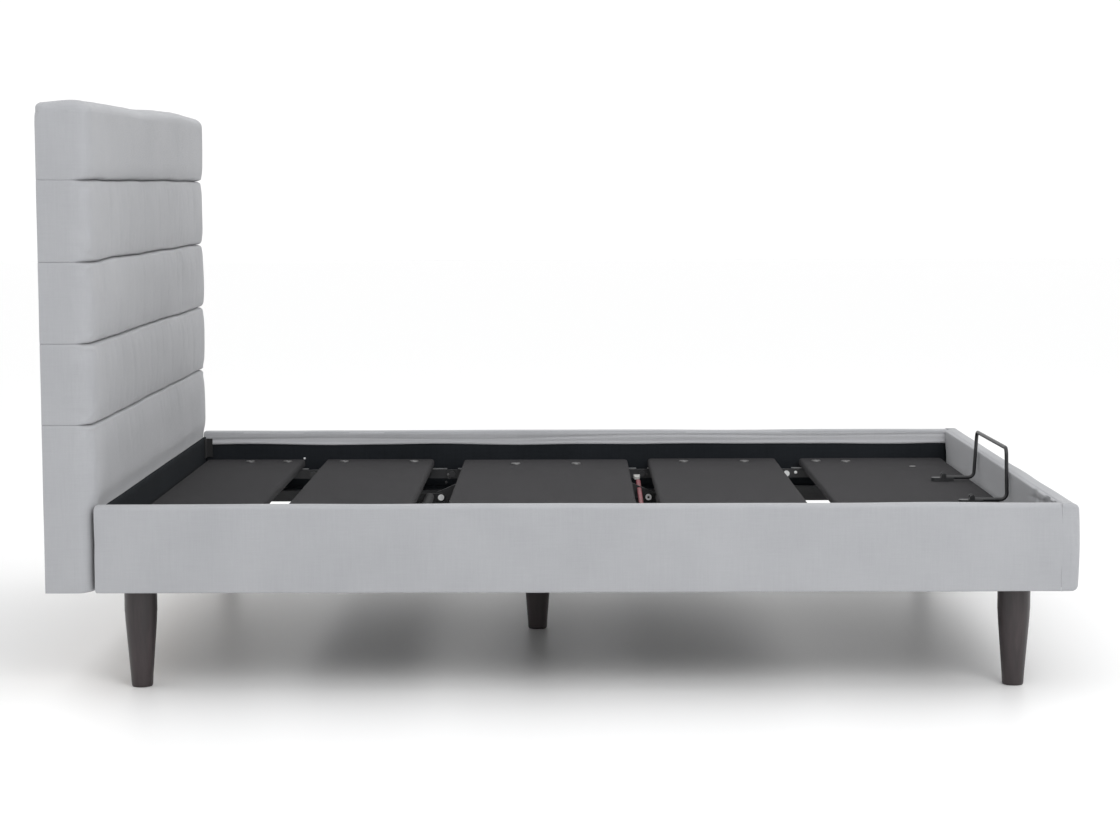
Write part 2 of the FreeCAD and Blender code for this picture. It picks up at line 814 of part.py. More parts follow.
def make_back():
    pillow_hinge = along("pillow_hinge")
    back_hinge = along("back_hinge")
    crosses = (along("back_start + 6"), f"{along('back_end')} - 42")
    solids = [section_tubes(f"{pillow_hinge} + hinge_gap", f"{back_hinge} - hinge_gap", crosses)]
    solids += moving_ears(back_hinge, -1) + fixed_ears(pillow_hinge, 1)
    solids += tracks(f"{crosses[0]} + deck_tube", crosses[1])
    solids += actuator_lugs(along("actuator_pillow"), "pillow_actuator_height", "-pillow_plane",
                            f"{crosses[1]} + deck_tube")
    solids.append(box((f"{crosses[1]} + 4", "-pillow_plane - lug_gap - 1", "pillow_actuator_height"),
                      (f"{crosses[1]} + deck_tube", "1 + lug_gap - pillow_plane", f"{SECTION_BOTTOM} + 1")))
    bores = moving_bores(back_hinge) + fixed_bores(pillow_hinge)
    keep(cut(fuse(solids), bores), "back_frame")
    bolts = ((along("back_start + 55"), "686"), (along("back_end - 52"), "686"))
    make_panel("back", along("back_start"), along("back_end"), "panel_half_width", bolts)
    make_pivot_bolts("pillow", pillow_hinge)


def crank_pin(pivot, height, crank, toward, full_swing):
    """A crank's pin at rest, half its swing short of straight down; toward is 1 or -1."""
    half_swing = math.radians(number(full_swing) / 2)
    return (f"{pivot} - {toward} * {crank} * {math.sin(half_swing):.6f}",
            f"{height} - {crank} * {math.cos(half_swing):.6f}")


def crank_plates(profile, plane):
    """Two plates with one outline, on both sides of the actuator's plane."""
    return [prism("XZ_Plane", profile, f"{plane} + {low}", f"{plane} + {high}")
            for low, high in (("-crank_outer", "-crank_inner"), ("crank_inner", "crank_outer"))]


def make_pillow(pin):
    hinge = along("pillow_hinge")
    crosses = (along("pillow_start + 26"), f"{along('pillow_end')} - cross_inset - deck_tube")
    solids = [section_tubes(along("pillow_start + 16"), f"{hinge} - hinge_gap", crosses)]
    solids += moving_ears(hinge, -1)
    lip = f"{SECTION_BOTTOM} + 8"
    profile = [(crosses[1], SECTION_BOTTOM), (f"{pin[0]} - 9", f"{pin[1]} - 9"),
               (f"{pin[0]} + 9", f"{pin[1]} - 9"), (f"{pin[0]} + 9", f"{pin[1]} + 7"),
               (f"{crosses[1]} + deck_tube", lip), (crosses[1], lip)]
    solids += crank_plates(profile, "-pillow_plane")
    solids.append(cylinder("y", pin, "-crank_outer - pillow_plane", "crank_outer - pillow_plane",
                           "hinge_pin_radius"))
    keep(cut(fuse(solids), moving_bores(hinge)), "pillow_frame")
    bolts = ((along("pillow_start + 127"), "688"), (along("pillow_end - 42"), "688"))
    make_panel("pillow", along("pillow_start"), along("pillow_end"), "panel_half_width", bolts)


def make_thigh():
    thigh_hinge = along("thigh_hinge")
    foot_hinge = along("foot_hinge")
    crosses = (f"{along('thigh_start')} + 40", f"{along('thigh_end')} - 30")
    solids = [section_tubes(f"{thigh_hinge} + hinge_gap", f"{foot_hinge} - hinge_gap", crosses)]
    solids += moving_ears(thigh_hinge, 1) + fixed_ears(foot_hinge, -1)
    solids += tracks(f"{crosses[0]} + deck_tube", crosses[1])
    bores = moving_bores(thigh_hinge) + fixed_bores(foot_hinge)
    keep(cut(fuse(solids), bores), "thigh_frame")
    bolts = ((along("thigh_start + 96"), "670"), (along("thigh_end - 91"), "670"))
    make_panel("thigh", along("thigh_start"), along("thigh_end"), "panel_half_width", bolts)
    make_pivot_bolts("foot", foot_hinge)


LINK_LENGTH = "(foot_hinge - thigh_hinge)"


def link_hangers(link_end):
    """Lugs that hang from the foot section's side tubes to the links, and their bores."""
    inner = "link_inner + link_thickness + link_hanger_gap"
    start = f"{link_end} - link_hanger_half"
    end = f"{link_end} + link_hanger_half"
    items = []
    bores = []
    for side in SIDES.values():
        low, high = across(side, inner, "deck_tube_inner + 1")
        items.append(box((start, low, SECTION_BOTTOM), (end, high, f"{SECTION_BOTTOM} + 10")))
        low, high = across(side, inner, "deck_tube_inner")
        items.append(box((start, low, "link_height - torque_radius"), (end, high, SECTION_BOTTOM)))
        bores.append(cylinder("y", (link_end, "link_height"), low, high,
                              "link_end_radius + 2 * running_clearance"))
    return items, bores


def make_foot():
    hinge = along("foot_hinge")
    crosses = (along("foot_start + cross_inset"), along("foot_end - 45"))
    hangers, bores = link_hangers(f"{along('link_start')} + {LINK_LENGTH}")
    solids = [section_tubes(f"{hinge} + hinge_gap", along("foot_end - 15"), crosses)]
    solids += moving_ears(hinge, 1) + hangers
    keep(cut(fuse(solids), moving_bores(hinge) + bores), "foot_frame")
    bolts = ((along("foot_start + 40"), "672"), (along("foot_start + 120"), "660"))
    make_panel("foot", along("foot_start"), along("foot_end"), "panel_half_width", bolts)


# Lift arms, rollers and the foot link

def lift_arms(pivot, tip):
    """A flat arm with round ends on each side, and the bores at its two ends."""
    ends = sorted((pivot, tip), key=number)
    items = []
    bores = []
    for side in SIDES.values():
        low, high = across(side, "arm_inner", "arm_inner + arm_thickness")
        items.append(box((ends[0], low, "arm_height - arm_half_depth"),
                         (ends[1], high, "arm_height + arm_half_depth")))
        for place in ends:
            items.append(cylinder("y", (place, "arm_height"), low, high, "torque_radius"))
            bores.append(cylinder("y", (place, "arm_height"), low, high,
                                  "arm_pin_radius + running_clearance"))
    return items, bores


def make_lift(name, pivot, length, toward, pin, plane):
    """Two arms on a torque tube, with a crank for the actuator; toward is the arms' direction."""
    tip = f"{pivot} + {toward} * {length}"
    centre = f"{pivot} + {toward} * torque_offset"
    solids, bores = lift_arms(pivot, tip)
    solids.append(cylinder("y", (centre, "arm_height"), "-arm_inner - 1", "arm_inner + 1", "torque_radius"))
    profile = [(f"{centre} + {toward} * 8", "arm_height"), (f"{centre} + {toward} * 2", "arm_height - 11"),
               (f"{pin[0]} + {toward} * 6", f"{pin[1]} - 9"), (f"{pin[0]} - {toward} * 8", f"{pin[1]} - 7"),
               (f"{pin[0]} - {toward} * 8", f"{pin[1]} + 7"), (centre, "arm_height + 11")]
    solids += crank_plates(profile, plane)
    solids.append(cylinder("y", pin, f"{plane} - crank_outer", f"{plane} + crank_outer", "hinge_pin_radius"))
    keep(cut(fuse(solids), bores), f"{name}_lift_yoke")
    reach = "(arm_inner + arm_thickness + 2)"
    wheels = [cylinder("y", (tip, "arm_height"), f"-{reach}", reach, "arm_pin_radius")]
    for side in SIDES.values():
        low, high = across(side, "arm_inner - 4 - roller_width", "arm_inner - 4")
        wheels.append(cylinder("y", (tip, "arm_height"), low, high, "roller_radius"))
    keep(fuse(wheels), f"{name}_roller_axle")


def make_foot_link():
    """Parallel links of the thigh section's length that keep the foot section level."""
    start = along("link_start")
    end = f"{start} + {LINK_LENGTH}"
    reach = "(link_inner + link_lug_outer + 1)"
    solids = [cylinder("y", (start, "link_height"), f"-{reach}", reach, "link_pin_radius")]
    for side in SIDES.values():
        low, high = across(side, "link_inner", "link_inner + link_thickness")
        solids.append(box((start, low, "link_height - link_half_height"),
                          (end, high, "link_height + link_half_height")))
        for place in (start, end):
            solids.append(cylinder("y", (place, "link_height"), low, high, "torque_radius"))
        low, high = across(side, "link_inner + link_thickness", "link_inner + 4 * link_thickness")
        solids.append(cylinder("y", (end, "link_height"), low, high, "link_end_radius"))
    keep(fuse(solids), "foot_link")


# Linear actuators, built along +X from the rear pivot and then set in place

def actuator_housing(barrel):
    """Rear eye, neck, motor block and a stepped barrel, bored for the pin and the rod."""
    eye = "eye_half_width"
    collar = "rod_radius + barrel_wall"
    solids = [cylinder("y", ("0", "0"), f"-{eye}", eye, "torque_radius"),
              box(("0", f"-{eye}", "-neck_half_height"), ("24", eye, "neck_half_height")),
              box(("motor_start", "-motor_near", "-motor_half_height"),
                  ("motor_end", "motor_far", "motor_half_height")),
              cylinder("x", ("0", "0"), "motor_end - 6", barrel, collar),
              cylinder("x", ("30", "0"), "motor_end - 6", f"{barrel} - barrel_step", collar)]
    bores = [cylinder("y", ("0", "0"), f"-{eye}", eye, "hinge_pin_radius + running_clearance"),
             cylinder("x", ("0", "0"), "34", barrel, "rod_radius + running_clearance")]
    return cut(fuse(solids), bores)


def actuator_rod(end, play):
    """A round rod whose eye is larger than the crank pin by the play."""
    eye = "eye_half_width"
    bore = f"hinge_pin_radius + {play}"
    shaft = fuse([cylinder("x", ("0", "0"), "37", f"{end} - 10", "rod_radius"),
                  cylinder("y", (end, "0"), f"-{eye}", eye, f"{bore} + eye_wall")])
    return cut(shaft, [cylinder("y", (end, "0"), f"-{eye}", eye, bore)])


def make_actuator(name, pivot, height, pin, plane):
    """Housing and rod, laid from the rear pivot towards the crank pin."""
    dx = number(pin[0]) - number(pivot)
    dz = number(pin[1]) - number(height)
    turn = FreeCAD.Rotation(DIRECTIONS["y"], -math.degrees(math.atan2(dz, dx)))
    place = FreeCAD.Placement(FreeCAD.Vector(number(pivot), number(plane), number(height)), turn)
    pieces = {f"{name}_actuator": actuator_housing(f"barrel_{name}"),
              f"{name}_actuator_rod": actuator_rod(f"{math.hypot(dx, dz):.4f}", f"{name}_play")}
    for label, piece in pieces.items():
        piece.Placement = place
        keep(piece, label)


# Mattress retainer

def bent_wire(points, radius):
    """A polyline whose inner corners are arcs of one radius, whatever their angle."""
    edges = []
    last = points[0]
    for before, corner, after in zip(points, points[1:], points[2:]):
        inward = (corner - before).normalize()
        outward = (after - corner).normalize()
        half_turn = inward.getAngle(outward) / 2
        reach = radius * math.tan(half_turn)
        start = corner - inward * reach
        end = corner + outward * reach
        bisector = (outward - inward).normalize()
        middle = corner + bisector * (radius / math.cos(half_turn) - radius)
        edges.append(Part.LineSegment(last, start).toShape())
        edges.append(Part.Arc(start, middle, end).toShape())
        last = end
    edges.append(Part.LineSegment(last, points[-1]).toShape())
    return Part.Wire(edges)


def make_retainer_bar():
    """One bent round bar with an eye at each end; its far corner stands a little lower."""
    pivot = number(along("retainer_pivot"))
    half = number("retainer_half_width")
    low = number("retainer_plane")
    top = number("retainer_top")
    far_top = number("retainer_top - far_bar_drop")
    root = pivot + number("retainer_radius")
    corners = ((root, -half, low), (number(along("near_bar_low")), -half, low),
               (number(along("near_bar_high")), -half, top), (number(along("far_bar_high")), half, far_top),
               (number(along("far_bar_low")), half, low), (root, half, low))
    points = [FreeCAD.Vector(*place) for place in corners]
    path = bent_wire(points, number("retainer_bend"))
    ring = Part.Wire([Part.makeCircle(number("retainer_radius"), points[0], DIRECTIONS["x"])])
    shape = path.makePipeShell([ring], True, False)
    eye = number("retainer_eye_half")
    starts = [FreeCAD.Vector(pivot, side * half - eye, low) for side in SIDES.values()]
    for start in starts:
        shape = shape.fuse(Part.makeCylinder(number("retainer_eye"), 2 * eye, start, DIRECTIONS["y"]))
    bore = number("retainer_pin + running_clearance")
    for start in starts:
        shape = shape.cut(Part.makeCylinder(bore, 2 * eye, start, DIRECTIONS["y"]))
    bar = doc.addObject("Part::Feature", "RetainerBar")
    bar.Shape = shape
    bar.Placement = FreeCAD.Placement()
    keep(bar, "retainer_bar")


def make_retainer_bracket(name, side):
    """An oval housing on the deck: a floor, a solid head end, two walls with round ears, and the pin."""
    pivot = along("retainer_pivot")
    middle = f"{side} * retainer_half_width"
    back = f"{pivot} - housing_reach"
    front = f"{pivot} + housing_front"
    half = "housing_half_width"
    solids = [box((back, f"{middle} - {half}", "deck_height"),
                  (front, f"{middle} + {half}", "deck_height + housing_floor")),
              cylinder("z", (back, middle), "deck_height", "retainer_plane", half),
              cylinder("y", (pivot, "retainer_plane"), f"{middle} - {half} + pin_recess",
                       f"{middle} + {half} - pin_recess", "retainer_pin")]
    crown = "retainer_plane + ear_rise"
    recesses = []
    for wall_side in SIDES.values():
        low, high = across(wall_side, "housing_wall_inner", half)
        near_face = f"{middle} + {low}"
        far_face = f"{middle} + {high}"
        solids.append(box((back, near_face, "deck_height"), (front, far_face, "retainer_plane")))
        solids.append(box((f"{pivot} - ear_round", near_face, "deck_height"),
                          (f"{pivot} + ear_round", far_face, crown)))
        solids.append(cylinder("y", (pivot, crown), near_face, far_face, "ear_round"))
        low, high = across(wall_side, f"{half} - pin_recess", half)
        recesses.append(cylinder("y", (pivot, "retainer_plane"), f"{middle} + {low}", f"{middle} + {high}",
                                 "pin_recess_radius"))
    keep(cut(fuse(solids), recesses), f"retainer_bracket_{name}")


def write_parts():
    """Check every object, then write each sub-part to its own file."""
    doc.recompute()
    for item in doc.Objects:
        if any(word in state for state in item.State for word in ("Invalid", "Error")):
            raise RuntimeError(f"{item.Label} failed: {item.State}")
    for item in nodes:
        if item.Shape.isNull() or not item.Shape.isValid():
            raise RuntimeError(f"{item.Label} has a bad shape")
    os.makedirs(NODE_FOLDER, exist_ok=True)
    for item in nodes:
        item.Shape.exportStep(f"{NODE_FOLDER}/{item.Label}.step")
    print(len(nodes), "sub-parts")


def build():
    back_pivot = along("back_arm_pivot")
    thigh_pivot = along("thigh_arm_pivot")
    back_pin = crank_pin(back_pivot, "arm_height", "crank_back", -1, "back_lift_angle")
    thigh_pin = crank_pin(thigh_pivot, "arm_height", "crank_thigh", 1, "thigh_lift_angle")
    pillow_pin = crank_pin(along("pillow_hinge"), "hinge_height", "crank_pillow", -1, "pillow_tilt_angle")
    make_headboard()
    for name, side in SIDES.items():
        make_side_rail(name, side)
        make_corner_bracket(name, side)
        make_retainer_bracket(name, side)
    make_foot_rail()
    make_head_lining()
    make_legs()
    make_base_frame()
    make_seat()
    make_back()
    make_pillow(pillow_pin)
    make_thigh()
    make_foot()
    make_lift("back", back_pivot, "back_arm_length", -1, back_pin, "lift_plane")
    make_lift("thigh", thigh_pivot, "thigh_arm_length", 1, thigh_pin, "-lift_plane")
    make_foot_link()
    make_actuator("back", along("actuator_back"), "actuator_height", back_pin, "lift_plane")
    make_actuator("thigh", along("actuator_thigh"), "actuator_height", thigh_pin, "-lift_plane")
    make_actuator("pillow", along("actuator_pillow"), "pillow_actuator_height", pillow_pin, "-pillow_plane")
    make_retainer_bar()


build()
write_parts()
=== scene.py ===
import math

import bmesh
import bpy
from mathutils import Matrix, Vector, noise


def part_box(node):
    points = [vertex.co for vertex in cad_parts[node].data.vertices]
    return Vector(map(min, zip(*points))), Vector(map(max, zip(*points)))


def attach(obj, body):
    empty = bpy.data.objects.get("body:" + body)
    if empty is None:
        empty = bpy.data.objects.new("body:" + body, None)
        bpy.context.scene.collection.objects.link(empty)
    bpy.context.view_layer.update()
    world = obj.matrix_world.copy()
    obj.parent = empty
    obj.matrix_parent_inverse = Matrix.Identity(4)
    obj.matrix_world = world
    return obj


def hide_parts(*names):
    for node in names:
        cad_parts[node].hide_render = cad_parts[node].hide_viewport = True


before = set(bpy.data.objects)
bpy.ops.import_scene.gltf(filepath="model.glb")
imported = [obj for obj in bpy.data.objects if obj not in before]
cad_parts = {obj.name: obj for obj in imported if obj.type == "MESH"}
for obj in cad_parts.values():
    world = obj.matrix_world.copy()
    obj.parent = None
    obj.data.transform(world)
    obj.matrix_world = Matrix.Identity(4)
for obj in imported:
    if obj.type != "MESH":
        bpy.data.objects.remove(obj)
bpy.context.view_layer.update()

MM = 0.001
SIDES = {"near": -1, "far": 1}
scene = bpy.context.scene


# ---------------------------------------------------------------- node helpers

def new_material(name):
    material = bpy.data.materials.new(name)
    material.use_nodes = True
    tree = material.node_tree
    return material, tree, tree.nodes["Principled BSDF"]


def add(tree, kind, **inputs):
    """A node, with sockets set by name, or by number as i0, i1 and so on, to a value or a link."""
    node = tree.nodes.new(kind)
    for name, value in inputs.items():
        numbered = name[0] == "i" and name[1:].isdigit()
        socket = node.inputs[int(name[1:]) if numbered else name]
        if isinstance(value, bpy.types.NodeSocket):
            tree.links.new(value, socket)
        else:
            socket.default_value = value
    return node


def maths(tree, operation, first, second=0.0):
    node = add(tree, "ShaderNodeMath", i0=first, i1=second)
    node.operation = operation
    return node.outputs[0]


def scaled(tree, vector, factors):
    node = add(tree, "ShaderNodeVectorMath", i0=vector, i1=factors)
    node.operation = "MULTIPLY"
    return node.outputs[0]


def grain(tree, vector, factors, detail=3.0):
    """Noise stretched by different factors along x, y and z."""
    stretched = scaled(tree, vector, factors)
    node = add(tree, "ShaderNodeTexNoise", Vector=stretched, Scale=1.0, Detail=detail)
    return node.outputs["Fac"]


def ramp(tree, factor, low, high, start=0.3, end=0.7):
    node = add(tree, "ShaderNodeValToRGB", Fac=factor)
    node.color_ramp.elements[0].position = start
    node.color_ramp.elements[0].color = (*low, 1)
    node.color_ramp.elements[1].position = end
    node.color_ramp.elements[1].color = (*high, 1)
    return node.outputs["Color"]


def bump(tree, bsdf, height, strength, distance):
    node = add(tree, "ShaderNodeBump", Height=height, Strength=strength, Distance=distance)
    tree.links.new(node.outputs["Normal"], bsdf.inputs["Normal"])


def place_of(tree):
    return tree.nodes.new("ShaderNodeTexCoord").outputs["Object"]


# ------------------------------------------------------------------- materials

def weave_height(tree, place, pitch):
    """Over-and-under threads in the plane of the surface, whichever way it faces."""
    turns = math.tau / pitch
    parts = add(tree, "ShaderNodeSeparateXYZ", Vector=place)
    waves = [maths(tree, "SINE", maths(tree, "MULTIPLY", parts.outputs[axis], turns))
             for axis in range(3)]
    geometry = tree.nodes.new("ShaderNodeNewGeometry")
    normal = add(tree, "ShaderNodeSeparateXYZ", Vector=geometry.outputs["Normal"])
    total = 0.0
    for axis, (first, second) in enumerate(((1, 2), (0, 2), (0, 1))):
        crossing = maths(tree, "MULTIPLY", waves[first], waves[second])
        facing = maths(tree, "POWER", maths(tree, "ABSOLUTE", normal.outputs[axis]), 2.0)
        total = maths(tree, "ADD", maths(tree, "MULTIPLY", crossing, facing), total)
    return total


MOTTLE_SHARE = 0.45
FLECK_SHARE = 0.25


def cloth(name, dark, light, pitch, streaks, depth, roughness=0.92, sheen=0.25, shine=0.25):
    """Woven cloth: crossing threads, uneven yarns both ways, and slow changes of tone."""
    material, tree, bsdf = new_material(name)
    place = place_of(tree)
    upright = grain(tree, place, (420, 420, 16))
    level = grain(tree, place, (16, 16, 520))
    mottle = grain(tree, place, (5, 5, 5), detail=5.0)
    fleck = grain(tree, place, (900, 900, 900), detail=1.0)
    yarns = maths(tree, "MULTIPLY", maths(tree, "ADD", upright, level), streaks / 2)
    tone = maths(tree, "ADD", yarns, maths(tree, "MULTIPLY", mottle, MOTTLE_SHARE))
    tone = maths(tree, "ADD", tone, maths(tree, "MULTIPLY", fleck, FLECK_SHARE))
    whole = streaks + MOTTLE_SHARE + FLECK_SHARE
    colour = ramp(tree, tone, dark, light, 0.35 * whole, 0.65 * whole)
    tree.links.new(colour, bsdf.inputs["Base Color"])
    threads = weave_height(tree, place, pitch)
    bump(tree, bsdf, maths(tree, "ADD", threads, maths(tree, "MULTIPLY", yarns, 2.0)), 0.55, depth)
    bsdf.inputs["Roughness"].default_value = roughness
    bsdf.inputs["Sheen Weight"].default_value = sheen
    bsdf.inputs["Sheen Roughness"].default_value = 0.5
    bsdf.inputs["Specular IOR Level"].default_value = shine
    return material


def painted_steel(name, dark, light, roughness):
    """Powder coat: orange-peel bump, faint dust and slightly polished patches."""
    material, tree, bsdf = new_material(name)
    place = place_of(tree)
    dust = grain(tree, place, (14, 14, 14), detail=6.0)
    peel = grain(tree, place, (700, 700, 700), detail=2.0)
    tree.links.new(ramp(tree, dust, dark, light), bsdf.inputs["Base Color"])
    worn = add(tree, "ShaderNodeMapRange", Value=dust, i3=roughness - 0.08, i4=roughness + 0.12)
    tree.links.new(worn.outputs[0], bsdf.inputs["Roughness"])
    bump(tree, bsdf, peel, 0.25, 0.0003)
    return material


def bright_metal(name, dark, light, roughness, metallic=0.85):
    """Plated steel with fine brushing and a little staining."""
    material, tree, bsdf = new_material(name)
    place = place_of(tree)
    stain = grain(tree, place, (60, 60, 60), detail=4.0)
    brush = grain(tree, place, (90, 90, 1600), detail=2.0)
    tree.links.new(ramp(tree, stain, dark, light), bsdf.inputs["Base Color"])
    bsdf.inputs["Metallic"].default_value = metallic
    shine = add(tree, "ShaderNodeMapRange", Value=brush, i3=roughness - 0.06, i4=roughness + 0.1)
    tree.links.new(shine.outputs[0], bsdf.inputs["Roughness"])
    bump(tree, bsdf, brush, 0.1, 0.0001)
    return material


def stained_wood(name, dark, light, stretch, roughness, coat):
    """Stained timber with grain along the given stretch and a thin satin lacquer."""
    material, tree, bsdf = new_material(name)
    place = place_of(tree)
    figure = grain(tree, place, stretch, detail=6.0)
    pores = grain(tree, place, tuple(factor * 5 for factor in stretch), detail=2.0)
    tone = maths(tree, "ADD", maths(tree, "MULTIPLY", figure, 0.75),
                 maths(tree, "MULTIPLY", pores, 0.25))
    tree.links.new(ramp(tree, tone, dark, light, 0.38, 0.62), bsdf.inputs["Base Color"])
    bump(tree, bsdf, pores, 0.18, 0.0002)
    bsdf.inputs["Roughness"].default_value = roughness
    bsdf.inputs["Coat Weight"].default_value = coat
    bsdf.inputs["Coat Roughness"].default_value = 0.3
    return material


def moulded(name, dark, light, roughness):
    """Moulded plastic with a fine spark texture."""
    material, tree, bsdf = new_material(name)
    place = place_of(tree)
    tone = grain(tree, place, (25, 25, 25), detail=4.0)
    spark = grain(tree, place, (1500, 1500, 1500), detail=1.0)
    tree.links.new(ramp(tree, tone, dark, light), bsdf.inputs["Base Color"])
    bump(tree, bsdf, spark, 0.3, 0.0002)
    bsdf.inputs["Roughness"].default_value = roughness
    return material


LINEN_WEAVE = {"pitch": 1.6 * MM, "streaks": 0.5, "depth": 0.35 * MM}
LINEN = cloth("linen", (0.33, 0.336, 0.353), (0.386, 0.392, 0.409), **LINEN_WEAVE)
# A lighter copy of the same linen: painted light for the band turned in towards the deck, which
# sits in shade.
LINEN_PAINTED_LIGHT = cloth("linen_painted_light", (0.46, 0.466, 0.486), (0.53, 0.536, 0.556), **LINEN_WEAVE)
DECK = cloth("deck_cloth", (0.0088, 0.0082, 0.0098), (0.0155, 0.0145, 0.0172),
             pitch=1.2 * MM, streaks=0.7, depth=0.25 * MM, roughness=0.85, sheen=0.03)
LINING = cloth("lining_cloth", (0.0105, 0.0122, 0.0145), (0.018, 0.0205, 0.024),
               pitch=2.2 * MM, streaks=0.5, depth=0.3 * MM, roughness=0.95, sheen=0.0, shine=0.08)
STEEL = painted_steel("black_powder_coat", (0.012, 0.0125, 0.014), (0.024, 0.025, 0.027), 0.42)
MATTE_STEEL = painted_steel("matte_black_steel", (0.009, 0.0095, 0.0105), (0.017, 0.0175, 0.0185),
                            0.8)
OXIDE = painted_steel("black_oxide", (0.022, 0.022, 0.024), (0.045, 0.045, 0.048), 0.34)
BOLT = bright_metal("satin_bolt", (0.12, 0.12, 0.12), (0.22, 0.22, 0.22), 0.42)
# A lighter copy of the black coat: painted highlight for the upper faces of the side tubes.
TOP_HIGHLIGHT_STEEL = painted_steel("powder_coat_painted_highlight", (0.1, 0.103, 0.105), (0.17, 0.174, 0.176), 0.4)
PLATED = bright_metal("plated_bolt", (0.72, 0.73, 0.73), (0.9, 0.91, 0.91), 0.45, 0.1)
# A near-white copy of the plated finish: painted light for the thigh's pivot bolts, which the thigh
# panel shades.
PLATED_PAINTED_LIGHT = bright_metal("plated_bolt_painted_light", (0.93, 0.93, 0.93), (1.0, 1.0, 1.0), 0.5, 0.0)
ROD = bright_metal("ground_rod", (0.09, 0.09, 0.095), (0.15, 0.15, 0.16), 0.24)
LEG_WOOD = stained_wood("espresso_wood", (0.015, 0.0098, 0.0108), (0.029, 0.0195, 0.021),
                        stretch=(55, 55, 5), roughness=0.4, coat=0.12)
RAW_BOARD = stained_wood("raw_board", (0.36, 0.25, 0.15), (0.52, 0.39, 0.25),
                         stretch=(6, 60, 60), roughness=0.75, coat=0.0)
BLACK_PLASTIC = moulded("black_plastic", (0.012, 0.012, 0.013), (0.022, 0.022, 0.024), 0.5)
WHITE_PLASTIC = moulded("white_plastic", (0.4, 0.4, 0.39), (0.5, 0.5, 0.48), 0.45)
RED_PLASTIC = moulded("red_sleeve", (0.15, 0.024, 0.033), (0.27, 0.05, 0.065), 0.5)


# ------------------------------------------------------------------ mesh tools

def mesh_piece(name, verts, faces, material, body, stands_for=()):
    mesh = bpy.data.meshes.new(name)
    mesh.from_pydata([tuple(v) for v in verts], [], faces)
    mesh.validate()
    for polygon in mesh.polygons:
        polygon.use_smooth = True
    mesh.materials.append(material)
    piece = bpy.data.objects.new(name, mesh)
    scene.collection.objects.link(piece)
    outward(piece)
    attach(piece, body)
    if stands_for:
        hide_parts(*stands_for)
    return piece


def outward(piece):
    """Turn the faces so that the mesh encloses a positive volume."""
    volume = 0.0
    mesh = piece.data
    for polygon in mesh.polygons:
        first = mesh.vertices[polygon.vertices[0]].co
        for a, b in zip(polygon.vertices[1:], polygon.vertices[2:]):
            volume += first.dot(mesh.vertices[a].co.cross(mesh.vertices[b].co))
    if volume < 0:
        mesh.flip_normals()


def loft(rings):
    """Vertices and faces of a closed skin over rings that all have the same count."""
    count = len(rings[0])
    verts = [point for ring in rings for point in ring]
    faces = []
    for row in range(len(rings) - 1):
        for column in range(count):
            beside = (column + 1) % count
            faces.append((row * count + column, row * count + beside,
                          (row + 1) * count + beside, (row + 1) * count + column))
    faces.append(tuple(reversed(range(count))))
    faces.append(tuple(range((len(rings) - 1) * count, len(rings) * count)))
    return verts, faces


def rounded(corners, steps):
    """A closed outline through (u, v, radius) corners, each turned on an arc of the given steps."""
    outline = []
    count = len(corners)
    for index, (u, v, radius) in enumerate(corners):
        here = Vector((u, v))
        before = (Vector(corners[index - 1][:2]) - here).normalized()
        after = (Vector(corners[(index + 1) % count][:2]) - here).normalized()
        if radius <= 0:
            outline.append(here)
            continue
        half = before.angle(after) / 2
        reach = radius / math.tan(half)
        centre = here + (before + after).normalized() * (radius / math.sin(half))
        start = here + before * reach - centre
        end = here + after * reach - centre
        sweep = start.angle_signed(end)
        for step in range(steps + 1):
            outline.append(centre + Matrix.Rotation(-sweep * step / steps, 2) @ start)
    return outline


def counted(corners, steps, counts):
    """A rounded outline whose straights are divided into fixed counts of pieces."""
    arcs = rounded(corners, steps)
    outline = []
    for side, count in enumerate(counts):
        first, last = side * (steps + 1), side * (steps + 1) + steps
        outline += arcs[first:last + 1]
        beyond = arcs[(last + 1) % len(arcs)]
        outline += [arcs[last].lerp(beyond, step / count) for step in range(1, count)]
    return outline


def rectangle(low_u, low_v, high_u, high_v, radius):
    """Corners for a rectangle whose corners are all turned on the same radius."""
    return [(low_u, low_v, radius), (high_u, low_v, radius),
            (high_u, high_v, radius), (low_u, high_v, radius)]


def divided(outline, longest):
    """The same outline with long straights cut into shorter ones."""
    result = []
    for index, point in enumerate(outline):
        beyond = outline[(index + 1) % len(outline)]
        pieces = max(1, math.ceil((beyond - point).length / longest))
        result += [point.lerp(beyond, step / pieces) for step in range(pieces)]
    return result


def ripple(piece, amplitude, factors, seed, weight=lambda co: 1.0):
    """Move the surface in and out along its normals by smooth noise."""
    offset = Vector((seed, seed * 1.7, seed * 0.6))
    moves = []
    for vertex in piece.data.vertices:
        sample = Vector(co * factor for co, factor in zip(vertex.co, factors)) + offset
        moves.append(vertex.normal * (amplitude * noise.noise(sample) * weight(vertex.co)))
    for vertex, move in zip(piece.data.vertices, moves):
        vertex.co += move


def lathe(name, profile, centre, axis, material, body, stands_for=(), segments=64):
    """A turned piece: profile is (radius, height) pairs along the axis, from the centre point."""
    turn = Vector(axis).to_track_quat("Z", "Y").to_matrix()
    rings = []
    for radius, height in profile:
        ring = []
        for step in range(segments):
            angle = math.tau * step / segments
            local = Vector((radius * math.cos(angle), radius * math.sin(angle), height))
            ring.append(Vector(centre) + turn @ local)
        rings.append(ring)
    verts, faces = loft(rings)
    crisp(mesh_piece(name, verts, faces, material, body, stands_for))


def crisp(piece, degrees=35):
    """Smooth shading that breaks at real edges."""
    for edge, angle in edge_angles(piece.data):
        edge.use_edge_sharp = angle > math.radians(degrees)


